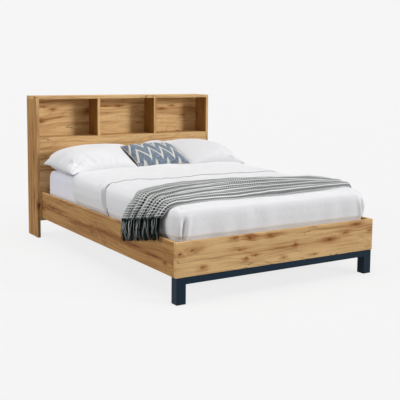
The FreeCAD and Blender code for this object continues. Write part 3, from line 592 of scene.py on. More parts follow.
def mesh_piece(name, points, faces):
    """Smooth-shaded mesh from points and faces."""
    mesh = bpy.data.meshes.new(name)
    mesh.from_pydata([tuple(point) for point in points], [], faces)
    mesh.validate()
    piece = bpy.data.objects.new(name, mesh)
    bpy.context.scene.collection.objects.link(piece)
    smooth_shaded(piece)
    return piece


def read_points(piece, kind="co"):
    """One row per vertex: its place, or its normal."""
    vertices = piece.data.vertices
    values = np.zeros(len(vertices) * 3)
    vertices.foreach_get(kind, values)
    return values.reshape(-1, 3)


def read_skin(piece):
    """Places and normals of all vertices."""
    return read_points(piece), read_points(piece, "normal")


def write_points(piece, points):
    piece.data.vertices.foreach_set("co", points.ravel())
    piece.data.update()


def face_outwards(piece):
    """Turn all faces of a closed piece outwards."""
    take(piece)
    bpy.ops.object.mode_set(mode="EDIT")
    bpy.ops.mesh.select_all(action="SELECT")
    bpy.ops.mesh.normals_make_consistent(inside=False)
    bpy.ops.object.mode_set(mode="OBJECT")


def smooth_step(values, low, high):
    """Smooth step from 0 at low to 1 at high."""
    share = np.clip((values - low) / (high - low), 0.0, 1.0)
    return share * share * (3.0 - 2.0 * share)


def ripples(points, wavelength, seed, stretch=(1.0, 1.0, 1.0), waves=10):
    """Soft irregular ripples between about -1 and 1, the same on every run."""
    chance = np.random.default_rng(seed)
    total = np.zeros(len(points))
    for _ in range(waves):
        heading = chance.normal(size=3)
        heading /= np.linalg.norm(heading)
        length = wavelength * chance.uniform(0.7, 1.5)
        turn = 2.0 * math.pi / length
        total += np.sin((points * np.array(stretch)) @ heading * turn + chance.uniform(0.0, 6.28))
    return total / math.sqrt(waves) * 0.8


def fold(points, start, end, width, rise):
    """Height of one straight fold from start to end: a ridge, or a valley if rise < 0."""
    start = np.array(start)
    run = np.array(end) - start
    share = np.clip((points - start) @ run / (run @ run), 0.0, 1.0)
    distance = np.linalg.norm(points - start - share[:, None] * run, axis=1)
    fade = np.clip(np.sin(math.pi * (share * 0.94 + 0.03)), 0.0, 1.0) ** 0.6
    return rise * fade * np.exp(-(distance / width) ** 2)


def folds(points, table, side=1.0):
    """Sum of folds given as (start, end, width, rise); side -1 mirrors them to the left."""
    mirror = np.array((side, 1.0, 1.0))
    return sum(fold(points, mirror * start, mirror * end, width, rise)
               for start, end, width, rise in table)


CLOTH = dict(quality=6, mass=0.25, tension_stiffness=18.0, compression_stiffness=12.0,
             shear_stiffness=8.0, bending_stiffness=0.25, use_pressure=True)
SWELL_FRAMES = 20


def swell(piece, pinned, pressure, cap, growth):
    """Blow a closed pad up with cloth pressure; no point moves further than the cap.

    pinned holds one weight per point, and growth is the spare cloth that buckles.
    """
    rest = read_points(piece)
    group = piece.vertex_groups.new(name="Seam")
    for index in np.nonzero(pinned > 0.01)[0]:
        group.add([int(index)], float(pinned[index]), "REPLACE")
    modifier = piece.modifiers.new("Swell", "CLOTH")
    cloth = modifier.settings
    for name, value in CLOTH.items():
        setattr(cloth, name, value)
    cloth.shrink_min = -growth
    cloth.uniform_pressure_force = pressure
    cloth.vertex_group_mass = group.name
    cloth.effector_weights.gravity = 0.0
    modifier.point_cache.frame_start = 1
    modifier.point_cache.frame_end = SWELL_FRAMES
    scene = bpy.context.scene
    for frame_number in range(1, SWELL_FRAMES + 1):
        scene.frame_set(frame_number)
    graph = bpy.context.evaluated_depsgraph_get()
    moved = read_points(piece.evaluated_get(graph))
    piece.modifiers.remove(modifier)
    piece.vertex_groups.remove(group)
    scene.frame_set(1)
    travel = moved - rest
    length = np.linalg.norm(travel, axis=1, keepdims=True)
    share = np.minimum(1.0, cap / np.maximum(length, 1e-9))
    write_points(piece, rest + travel * share)


def cord_along(name, points, radius, closed=False):
    """Round cord through the points, as a mesh."""
    curve = bpy.data.curves.new(name, "CURVE")
    curve.dimensions = "3D"
    curve.bevel_depth = radius
    curve.bevel_resolution = 1
    spline = curve.splines.new("POLY")
    spline.points.add(len(points) - 1)
    for target, point in zip(spline.points, points):
        target.co = (point[0], point[1], point[2], 1.0)
    spline.use_cyclic_u = closed
    curve.use_fill_caps = not closed
    piece = bpy.data.objects.new(name, curve)
    bpy.context.scene.collection.objects.link(piece)
    take(piece)
    bpy.ops.object.convert(target="MESH")
    piece = bpy.context.view_layer.objects.active
    smooth_shaded(piece)
    return piece


# ------------------------------------------------------------------ studio
SENSOR_WIDTH = 36.0         # in mm
CLIP_END = 200.0
FLOOR_SIZE = 80.0
FLOOR_GLOW = 0.86           # share of the floor that shows as backdrop; the rest keeps the shadow
# heading of each sun from -Y towards +X, height above the horizon and softness, in degrees
LAMPS = {"key": (41.0, 14.0, 15.0), "top": (20.0, 86.0, 60.0), "side": (-104.0, 20.0, 40.0)}


class BED_OT_stage(bpy.types.Operator):
    """Pale floor, soft lamps and the camera"""
    bl_idname = "bed.stage"
    bl_label = "Stage"

    def execute(self, context):
        studio = context.scene.bed_studio
        deselect()
        bpy.ops.mesh.primitive_plane_add(size=FLOOR_SIZE, location=(0.0, 0.0, 0.0))
        floor = context.view_layer.objects.active
        floor.name = "floor"
        give_material(floor, self.floor_material(studio))
        self.world(context.scene, studio)
        self.lamps(studio)
        self.camera(context.scene, studio)
        context.scene.view_settings.view_transform = "Standard"
        return {"FINISHED"}

    @staticmethod
    def floor_material(studio):
        """Pale floor that the camera sees as the backdrop, with a faint shadow kept."""
        material, graph, principled = new_material("Floor", Roughness=0.9)
        path = graph.put("ShaderNodeLightPath")
        seen = graph.largest(graph.out(path, "Is Camera Ray"), graph.out(path, "Is Glossy Ray"))
        tone = graph.mixed(seen, solid([studio.bounce] * 3), solid([0.9] * 3))
        dress_shader(graph, principled, tone)
        glow = graph.put("ShaderNodeEmission", {"Color": solid(studio.backdrop), "Strength": 1.0})
        mix = graph.put("ShaderNodeMixShader", {0: seen * FLOOR_GLOW, 1: principled.outputs[0],
                                                2: glow.outputs[0]})
        output = material.node_tree.nodes["Material Output"]
        graph.feed(output.inputs["Surface"], mix.outputs[0])
        return material

    @staticmethod
    def world(scene, studio):
        world = bpy.data.worlds.new("Studio")
        scene.world = world
        world.use_nodes = True
        graph = Graph(world.node_tree)
        background = world.node_tree.nodes["Background"]
        background.inputs["Color"].default_value = solid([1.0] * 3)
        background.inputs["Strength"].default_value = studio.ambient
        seen = graph.put("ShaderNodeBackground", {"Color": solid(studio.backdrop), "Strength": 1.0})
        path = graph.put("ShaderNodeLightPath")
        rays = [graph.out(path, ray)
                for ray in ("Is Camera Ray", "Is Glossy Ray", "Is Transmission Ray")]
        mix = graph.put("ShaderNodeMixShader", {0: graph.largest(*rays), 1: background.outputs[0],
                                                2: seen.outputs[0]})
        graph.feed(world.node_tree.nodes["World Output"].inputs["Surface"], mix.outputs[0])

    @staticmethod
    def lamps(studio):
        for name, (heading, height, softness) in LAMPS.items():
            deselect()
            turn = Euler((math.radians(90.0 - height), 0.0, math.radians(heading)))
            bpy.ops.object.light_add(type="SUN", location=(0.0, 0.0, 3.0), rotation=turn)
            lamp = bpy.context.view_layer.objects.active
            lamp.name = "lamp_" + name
            lamp.data.energy = getattr(studio, name)
            lamp.data.angle = math.radians(softness)

    @staticmethod
    def camera(scene, studio):
        up = Vector((0.0, 0.0, 1.0))
        ahead = Vector((math.sin(studio.camera_turn), math.cos(studio.camera_turn), 0.0))
        right = Vector((ahead.y, -ahead.x, 0.0))
        dip = studio.camera_dip
        sight = ahead * math.cos(dip) - up * math.sin(dip)
        over = ahead * math.sin(dip) + up * math.cos(dip)
        roll = studio.camera_roll
        across = right * math.cos(roll) + over * math.sin(roll)
        above = over * math.cos(roll) - right * math.sin(roll)
        turn = Matrix((across, above, -sight)).transposed().to_euler()
        deselect()
        bpy.ops.object.camera_add(location=studio.camera_place, rotation=turn)
        camera = bpy.context.view_layer.objects.active
        camera.data.lens = studio.camera_lens
        camera.data.sensor_width = SENSOR_WIDTH
        camera.data.shift_y = studio.camera_shift
        camera.data.clip_end = CLIP_END
        scene.camera = camera


# ------------------------------------------------------------------ boards
# grain direction, direction that the broad face looks in, and pattern seed of each board
OAK_BOARDS = {
    "headboard_side_left": ("Z", "X", 1.0),
    "headboard_side_right": ("Z", "X", 2.3),
    "headboard_top": ("X", "Z", 3.1),
    "headboard_front_board": ("X", "Y", 4.7),
    "headboard_shelf": ("X", "Z", 5.2),
    "bookcase_back": ("X", "Y", 6.4),
    "rear_stretcher": ("X", "Y", 7.9),
    "divider_left": ("Z", "X", 8.6),
    "divider_right": ("Z", "X", 9.2),
    "side_rail_left": ("Y", "X", 10.5),
    "side_rail_right": ("Y", "X", 11.8),
    "footboard": ("X", "Y", 12.4),
}

# knots seen in the photograph: along the grain, across the board, radius, stretch
FOOTBOARD_KNOTS = (
    (-0.700, 0.285, 0.0075, 1.3), (-0.620, 0.300, 0.0060, 4.0), (-0.552, 0.192, 0.0060, 1.8),
    (-0.260, 0.208, 0.0055, 1.2), (-0.200, 0.222, 0.0035, 3.5), (-0.339, 0.338, 0.0040, 2.5),
    (-0.084, 0.326, 0.0050, 2.4), (0.098, 0.252, 0.0060, 1.1), (-0.300, 0.268, 0.0030, 8.0),
    (0.009, 0.182, 0.0040, 2.6), (0.372, 0.256, 0.0070, 3.4), (0.494, 0.286, 0.0060, 3.2),
    (0.590, 0.330, 0.0050, 4.0), (0.706, 0.280, 0.0060, 1.6), (0.250, 0.178, 0.0030, 4.0),
)
BACK_KNOTS = (
    (-0.664, 0.883, 0.0065, 1.3), (-0.278, 0.953, 0.0090, 1.5), (-0.573, 0.975, 0.0050, 2.5),
    (-0.640, 0.990, 0.0035, 7.0), (0.000, 0.990, 0.0050, 3.6), (-0.120, 0.992, 0.0030, 7.0),
    (0.274, 0.880, 0.0110, 2.0), (0.190, 0.850, 0.0040, 4.0), (0.400, 0.960, 0.0050, 3.5),
    (0.614, 0.900, 0.0050, 1.4), (0.500, 0.985, 0.0045, 2.5),
)
LEFT_RAIL_KNOTS = (
    (0.900, 0.235, 0.0070, 3.2), (0.749, 0.271, 0.0050, 3.0), (0.552, 0.250, 0.0040, 3.2),
    (0.276, 0.231, 0.0040, 4.0), (0.004, 0.245, 0.0060, 1.2), (-1.000, 0.215, 0.0070, 1.2),
    # a long crack that wanders along the board
    (0.860, 0.246, 0.0034, 24.0), (0.690, 0.266, 0.0034, 26.0), (0.430, 0.242, 0.0030, 30.0),
    (0.130, 0.238, 0.0030, 30.0), (-0.180, 0.246, 0.0028, 28.0), (-0.620, 0.242, 0.0030, 30.0),
    (-0.880, 0.230, 0.0034, 24.0),
)
LEFT_SIDE_KNOTS = (
    (0.820, 0.992, 0.0040, 9.0), (0.600, 0.985, 0.0070, 4.8), (0.300, 0.990, 0.0060, 5.0),
)
MARKED = {
    "footboard": FOOTBOARD_KNOTS,
    "bookcase_back": BACK_KNOTS,
    "side_rail_left": LEFT_RAIL_KNOTS,
    "headboard_side_left": LEFT_SIDE_KNOTS,
}

# painted light and shade on broad faces: darker where the side panels, rails and dividers stand in
# shade, lighter on the bookcase back where the light falls
PAINTED_LIGHT_TINTS = {
    "bookcase_back": (1.10, 1.15, 1.18),
    "side_rail_left": (0.67, 0.57, 0.45),
    "side_rail_right": (0.62, 0.53, 0.43),
    "headboard_side_left": (0.68, 0.57, 0.42),
    "headboard_side_right": (0.60, 0.48, 0.34),
    "divider_left": (0.52, 0.42, 0.24),
    "divider_right": (0.52, 0.42, 0.24),
}


class BED_OT_boards(bpy.types.Operator):
    """Rustic oak laminate on every panel, each with its own stretch of grain"""
    bl_idname = "bed.boards"
    bl_label = "Oak boards"

    def execute(self, context):
        oak = context.scene.bed_oak
        for name, (grain, face, seed) in OAK_BOARDS.items():
            material = wood_material("Oak " + name, grain, face, seed, oak.light, oak.dark,
                                     oak.knot, oak.knots, MARKED.get(name, ()),
                                     PAINTED_LIGHT_TINTS.get(name))
            give_material(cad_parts[name], material)
        return {"FINISHED"}


# light and dark wood, knots and the share of places with a knot
PINE = ((0.66, 0.49, 0.28), (0.48, 0.29, 0.12), (0.16, 0.07, 0.03), 0.4)
BEECH = ((0.68, 0.50, 0.32), (0.52, 0.33, 0.19), (0.16, 0.07, 0.03), 0.0)
PINE_SEED = 20.0
BEECH_SEED = 50.0


class BED_OT_slat_base(bpy.types.Operator):
    """Pine slats, ledges and centre rail, beech dowels and woven tape"""
    bl_idname = "bed.slat_base"
    bl_label = "Slat base"

    def execute(self, context):
        slats = sorted(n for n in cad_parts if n.startswith("slat_") and n[5:].isdigit())
        places = {name: ("X", "Z") for name in slats}
        places.update({name: ("Y", "X") for name in (
            "slat_ledge_left", "slat_ledge_right", "centre_rail")})
        for index, (name, (grain, face)) in enumerate(places.items()):
            seed = PINE_SEED + 1.3 * index
            material = wood_material("Pine " + name, grain, face, seed, *PINE)
            give_material(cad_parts[name], material)
        beech = wood_material("Beech", "X", "Z", BEECH_SEED, *BEECH)
        give_material(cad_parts["wood_dowels"], beech)
        give_material(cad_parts["slat_straps"], webbing_material())
        return {"FINISHED"}


# how the names of the nodes of each finish begin
PAINTED = ("foot_leg", "foot_crossbar", "centre_leg")
ZINC = ("corner_bracket", "centre_rail_hanger", "cam_", "back_panel", "wood_screws", "frame_bolts",
        "threaded_inserts")
NYLON = ("headboard_glides", "foot_end_caps", "levelling_foot")


class BED_OT_metalwork(bpy.types.Operator):
    """Powder-coated steel, zinc-plated fittings and plastic glides"""
    bl_idname = "bed.metalwork"
    bl_label = "Metalwork"

    def execute(self, context):
        steel = context.scene.bed_steel
        paint = painted_material("Blue-black powder coat", steel.paint, steel.roughness)
        zinc = zinc_material()
        plastic = plastic_material("Black nylon", (0.022, 0.022, 0.024))
        for name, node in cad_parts.items():
            for beginnings, finish in ((PAINTED, paint), (ZINC, zinc), (NYLON, plastic)):
                if name.startswith(beginnings):
                    give_material(node, finish)
        return {"FINISHED"}


# ------------------------------------------------------------------ mattress
MATTRESS_CORNER = 0.050         # radius of its upright corners
MATTRESS_RIM = 0.034            # radius of its top and bottom rims
MATTRESS_CELL = 0.012
SEAM_DROP = 0.030               # of the sheet's seam line below the top
UNDER_DUVET = 0.022             # how much it is pressed in under the duvet
SAME_LEVEL = 1e-4


class BED_OT_mattress(bpy.types.Operator):
    """Mattress in its fitted sheet"""
    bl_idname = "bed.mattress"
    bl_label = "Mattress"

    def execute(self, context):
        low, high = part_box("mattress")
        middle = (low + high) / 2.0
        deselect()
        bpy.ops.mesh.primitive_cube_add(size=1.0, location=middle, scale=high - low)
        piece = context.view_layer.objects.active
        piece.name = "fitted_mattress"
        bpy.ops.object.transform_apply(location=True, rotation=True, scale=True)
        self.round_edges(piece)
        apply_modifier(piece, "REMESH", mode="VOXEL", voxel_size=MATTRESS_CELL)
        apply_modifier(piece, "SMOOTH", factor=0.5, iterations=6)
        self.dress(piece, low, high)
        smooth_shaded(piece)
        bedding = context.scene.bed_bedding
        give_material(piece, cotton_material("Fitted sheet", bedding.sheet))
        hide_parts("mattress")
        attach(piece, "made_mattress")
        return {"FINISHED"}

    @staticmethod
    def round_edges(piece):
        """Round the upright corners widely, then roll the top and bottom rims."""
        take(piece)
        for offset, rims in ((MATTRESS_CORNER, False), (MATTRESS_RIM, True)):
            bpy.ops.object.mode_set(mode="EDIT")
            bpy.ops.mesh.select_all(action="DESELECT")
            bpy.ops.object.mode_set(mode="OBJECT")
            mesh = piece.data
            levels = [vertex.co.z for vertex in mesh.vertices]
            for edge in mesh.edges:
                first, second = [mesh.vertices[index].co.z for index in edge.vertices]
                to_rim = min(abs(first - min(levels)), abs(first - max(levels)))
                is_rim = abs(first - second) < SAME_LEVEL and to_rim < SAME_LEVEL
                edge.select = is_rim if rims else abs(first - second) > 0.1
            bpy.ops.object.mode_set(mode="EDIT")
            bpy.ops.mesh.select_mode(type="EDGE")
            bpy.ops.mesh.bevel(offset=offset, segments=6)
            bpy.ops.object.mode_set(mode="OBJECT")

    @staticmethod
    def dress(piece, low, high):
        """Soft undulation of the sheet, and a seam line under its rolled edge."""
        points, normals = read_skin(piece)
        lift = 0.0012 * ripples(points, 0.25, 3)
        seam = np.exp(-((points[:, 2] - (high.z - SEAM_DROP)) / 0.006) ** 2)
        upright = 1.0 - np.abs(normals[:, 2])
        lift -= 0.0015 * seam * upright
        under = smooth_step(-points[:, 1], -0.22, -0.10)
        points += normals * (lift - 0.001 - UNDER_DUVET * under)[:, None]
        points[:, 2] = np.maximum(points[:, 2], low.z)
        write_points(piece, points)


# ------------------------------------------------------------------ duvet
TURN_DOWN_EDGE = -0.150     # where the turned-down head end stops, along the bed
HEAD_MIDDLE = 0.435         # where its bowed head edge lies on the middle line
HEAD_SAG = 0.090            # how far the head edge bows towards the foot at the sides
HEAD_ROLL = 0.012           # how much the folded head edge stands up
WADDING = (0.022, 0.012)    # how far the walls and the top grow inwards
TUCK_IN = 0.012             # how far the hem goes in behind the rails' top edges
PIPING_SWING = 0.024        # how far the piped edge swings towards the foot as it hangs
PIPING_RADIUS = 0.0022
EVEN = (1.0, 1.0, 1.0)
# puffs of the duvet: where, height, wavelength, seed and stretch of the ripples
PUFFS = (
    ("top", 0.0022, 0.34, 5, EVEN), ("top", 0.0012, 0.11, 6, EVEN),
    ("seam", 0.0025, 0.055, 8, (1.0, 0.25, 1.0)), ("band", 0.002, 0.16, 9, (1.4, 0.8, 1.0)),
    # its sides and foot hang in long soft uprights
    ("sides", 0.0018, 0.16, 14, (1.0, 1.0, 0.25)), ("foot", 0.0026, 0.13, 15, (1.0, 1.0, 0.22)),
)
# folds at its right side, as (start, end, width, rise)
TURN_DOWN_FOLDS = (
    # the turned-down flap ends in a soft roll between two tucks
    ((0.716, -0.140, 0.560), (0.712, -0.180, 0.330), 0.015, 0.017),
    ((0.716, -0.166, 0.560), (0.712, -0.206, 0.330), 0.009, -0.034),
    ((0.716, -0.101, 0.560), (0.712, -0.1488, 0.330), 0.010, -0.009),
)
FOOT_CORNER_FOLDS = (
    # one deep tuck with a soft roll on each side, and a loose ear above it
    ((0.655, -1.098, 0.488), (0.672, -1.096, 0.345), 0.009, -0.024),
    ((0.678, -1.090, 0.515), (0.692, -1.088, 0.350), 0.013, 0.013),
    ((0.625, -1.096, 0.495), (0.648, -1.096, 0.350), 0.012, 0.010),
    ((0.650, -1.085, 0.525), (0.560, -1.075, 0.530), 0.016, 0.004),
)


def duvet_head_line(x):
    """Y of the duvet's bowed head edge, read from the way its solid bows."""
    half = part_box("duvet")[1].x
    radius = (half ** 2 + HEAD_SAG ** 2) / (2.0 * HEAD_SAG)
    return HEAD_MIDDLE - radius + np.sqrt(radius ** 2 - np.clip(np.abs(x), 0, half) ** 2)


def facing_out(x, normals):
    """Above 0 where the cover faces away from the mattress, and below 0 inside it."""
    return normals[:, 0] * np.sign(x) - normals[:, 1] + normals[:, 2]


class BED_OT_duvet(bpy.types.Operator):
    """Duvet tucked into the frame, its head end turned down and piped"""
    bl_idname = "bed.duvet"
    bl_label = "Duvet"

    def execute(self, context):
        bedding = context.scene.bed_bedding
        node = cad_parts["duvet"]
        piece = bpy.data.objects.new("duvet_cover", node.data.copy())
        context.scene.collection.objects.link(piece)
        take(piece)
        bpy.ops.object.mode_set(mode="EDIT")
        bpy.ops.mesh.select_all(action="SELECT")
        bpy.ops.mesh.remove_doubles(threshold=0.00002)
        bpy.ops.object.mode_set(mode="OBJECT")
        self.thicken(piece)
        apply_modifier(piece, "REMESH", mode="VOXEL", voxel_size=bedding.duvet_grain)
        apply_modifier(piece, "SMOOTH", factor=0.5, iterations=12)
        self.shape(piece)
        smooth_shaded(piece)
        cotton = cotton_material("Duvet cotton", bedding.cotton)
        give_material(piece, cotton)
        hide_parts("duvet")
        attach(piece, "made_mattress")
        self.piping(piece, bedding)
        return {"FINISHED"}

    @staticmethod
    def thicken(piece):
        """Move the inside of the cover inwards, so that its wall is all thick wadding."""
        low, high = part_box("mattress")
        slack = 0.0007
        wall, roof = WADDING
        points, normals = read_skin(piece)
        x, y, z = points.T
        inside = (np.abs(x) < high.x + slack) & (y > low.y - slack) & (z < high.z + slack)
        inside &= facing_out(x, normals) < 0.0
        points[:, 0] -= np.where(inside & (np.abs(x) > 0.5), wall * np.sign(x), 0.0)
        points[:, 1] += np.where(inside & (y < -0.9), wall, 0.0)
        points[:, 2] -= np.where(inside & (z > 0.47), roof, 0.0)
        write_points(piece, points)

    @staticmethod
    def shape(piece):
        """Softness from listed shapes: the rolled head edge, puffs, tucks and the folded corner."""
        points, normals = read_skin(piece)
        x, y, z = points.T
        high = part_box("duvet")[1]
        outer = np.clip(normals[:, 2] * 1.5, 0.0, 1.0)
        top = outer * smooth_step(z, high.z - 0.045, high.z - 0.012)
        upright = 1.0 - np.abs(normals[:, 2])
        masks = {
            "top": top,
            "seam": top * np.exp(-((y - TURN_DOWN_EDGE - 0.02) / 0.045) ** 2),
            "band": top * smooth_step(y, TURN_DOWN_EDGE - 0.01, TURN_DOWN_EDGE + 0.02),
            "sides": upright * smooth_step(np.abs(x), 0.690, 0.700),
            "foot": np.clip(-normals[:, 1], 0.0, 1.0) ** 2 * smooth_step(-y, 1.04, 1.08),
        }
        roll = np.exp(-((duvet_head_line(x) - y - 0.045) / 0.040) ** 2) * outer
        lift = HEAD_ROLL * roll * (1.0 + 0.25 * ripples(points, 0.22, 11))
        for where, height, wavelength, seed, stretch in PUFFS:
            lift += masks[where] * height * ripples(points, wavelength, seed, stretch)
        lift -= TUCK_IN * smooth_step(-z, -0.378, -0.354) * upright
        for side in (-1.0, 1.0):
            lift += folds(points, TURN_DOWN_FOLDS + FOOT_CORNER_FOLDS, side)
        # the hidden inner skin stays where it is
        inner_low, inner_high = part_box("mattress")
        skin = 0.006
        hidden = (np.abs(x) < inner_high.x + skin) & (y > inner_low.y - skin)
        hidden &= (z < inner_high.z + skin) & (facing_out(x, normals) < 0.0)
        points += normals * np.where(hidden, 0.0, lift)[:, None]
        write_points(piece, points)

    @staticmethod
    def piping(cover, bedding):
        """Cord along the foot edge of the turned-down band, laid on the cover; its dark colour is
        partly painted shade, standing for the shadow in the crease where it lies.
        """
        graph = bpy.context.evaluated_depsgraph_get()
        tree = BVHTree.FromObject(cover, graph)
        lowest, highest = 0.345, 0.545
        drops = np.linspace(lowest, highest, 24)
        route = []

        def lay(start, heading):
            hit, normal, _, _ = tree.ray_cast(Vector(start), Vector(heading))
            if hit is not None:
                route.append(hit + normal * 0.0008)

        def hang(side, heights):
            for z in heights:
                y = TURN_DOWN_EDGE - 0.020 - PIPING_SWING * (highest - z) / (highest - lowest)
                lay((side * 0.9, y, z), (-side, 0.0, 0.0))

        hang(-1.0, drops)
        for x in np.linspace(-0.70, 0.70, 141):
            y = TURN_DOWN_EDGE - 0.004 + 0.004 * math.sin(9.0 * x) + 0.003 * math.sin(23.0 * x)
            y -= 0.014 * (abs(x) / 0.70) ** 12
            lay((x, y, 1.0), (0.0, 0.0, -1.0))
        hang(1.0, drops[::-1])
        piece = cord_along("duvet_piping", route, PIPING_RADIUS)
        give_material(piece, cotton_material("Piping", bedding.piping, threads=2600.0))
        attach(piece, "made_mattress")


# ------------------------------------------------------------------ pads
def pad_grid(cells_across, cells_along):
    """Both faces of a pad: shares from -1 to 1 across and along, side, and its quads.

    The cells get smaller towards the seam, where the pad curves most.
    """
    def shares(cells):
        places = np.sin(np.linspace(-1.0, 1.0, cells + 1) * math.pi / 2.0 * 0.92)
        return places / places[-1]

    a, b = np.meshgrid(shares(cells_across), shares(cells_along), indexing="ij")
    rows, columns = a.shape
    front = np.arange(rows * columns).reshape(rows, columns)
    back = front.copy()
    inside = np.zeros_like(front, bool)
    inside[1:-1, 1:-1] = True
    back[inside] = rows * columns + np.arange(inside.sum())
    faces = []
    for i in range(rows - 1):
        for j in range(columns - 1):
            faces.append((front[i, j], front[i + 1, j], front[i + 1, j + 1], front[i, j + 1]))
            faces.append((back[i, j], back[i, j + 1], back[i + 1, j + 1], back[i + 1, j]))
    a_all = np.concatenate([a.ravel(), a[inside]])
    b_all = np.concatenate([b.ravel(), b[inside]])
    side = np.concatenate([np.ones(rows * columns), -np.ones(inside.sum())])
    return a_all, b_all, side, [tuple(int(index) for index in face) for face in faces]


def pad_fullness(a, b, firmness=3.0, across=None):
    """Share of the full height at each place; across is the firmness between the ends."""
    ends = 1.0 - np.abs(a) ** (firmness if across is None else across)
    return (ends * (1.0 - np.abs(b) ** firmness)) ** 0.55


def keep_off_mattress(points):
    """Lift what would sink into the top of the mattress."""
    points[:, 2] = np.maximum(points[:, 2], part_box("mattress")[1].z + 0.002)


PILLOW_ENDS = (0.026, 0.732)        # inner and outer end, from the middle of the bed
PILLOW_FRONT = (0.447, 0.362)       # front seam at the inner end and at the outer end
PILLOW_BEHIND = 0.024               # gap from the back seam to the headboard's lower board
PILLOW_SEAM = (0.575, 0.052, 0.628)     # height, slope and where along the bed it is level
PILLOW_DRAW = 0.026                 # how far the stuffing draws the seams in
PILLOW_UNDERSIDE = 0.062
PILLOW_FIRMNESS = {-1.0: 3.0, 1.0: 4.0}
INNER_FIRMNESS = 2.2                # how much firmer the inner ends are
EAR_SLACK = (0.060, 0.030)          # how far the front and the back ears come forward
EAR_DROP = 0.016
PILLOW_SWELL = dict(pressure=3.5, cap=0.012, growth=0.05)
CUSHION_SWELL = dict(pressure=3.0, cap=0.006, growth=0.04)
PILLOW_SHADE = 0.965                # of its cotton against the duvet's
DENT_ROOM = 0.006                   # room left round the cushion's rim
DENT_BANK = 0.38                    # how steeply the dent climbs at its front and sides
DENT_BACK = 1.1                     # and at its back
DENT_BLEND = 0.004                  # how softly its rim is rounded
# folds that run out of an ear: its place, their climb, then reach, heading, width and rise
EARS = (
    ((0.718, 0.370, 0.562), 0.10, (
        (0.17, 62.0, 0.011, -0.018), (0.20, 45.0, 0.013, 0.014), (0.15, 30.0, 0.010, -0.017),
        (0.13, 12.0, 0.011, 0.011), (0.12, 78.0, 0.011, 0.012))),
    ((0.715, 0.870, 0.606), 0.06, (
        (0.16, -30.0, 0.012, -0.014), (0.18, -50.0, 0.012, 0.012))),
)
# long slack creases over the crown of the right pillow
SLACK_CREASES = (
    ((0.66, 0.42, 0.60), (0.42, 0.56, 0.70), 0.012, -0.006),
    ((0.70, 0.50, 0.60), (0.50, 0.62, 0.70), 0.012, -0.005),
    ((0.34, 0.46, 0.63), (0.46, 0.60, 0.71), 0.014, 0.004),
)
CUSHION_SIZE = (0.446, 0.343)
CUSHION_CROWN = 0.060
CUSHION_DRAW = 0.018
CUSHION_LEAN = math.radians(22.0)
CUSHION_FOOT = Vector((0.084, 0.441, 0.562))    # middle of its lower seam
STEEP = 0.38                    # share of a zigzag tooth that its steep side takes
ZIGZAG_START = 4.05             # where the first tooth starts, in teeth
ZIGZAG_FOOT = 0.055             # of a valley above the lower seam


def cushion_matrix():
    """Turns and moves the cushion from its own plane to where it leans."""
    return Matrix.Translation(CUSHION_FOOT) @ Matrix.Rotation(CUSHION_LEAN, 4, "X")


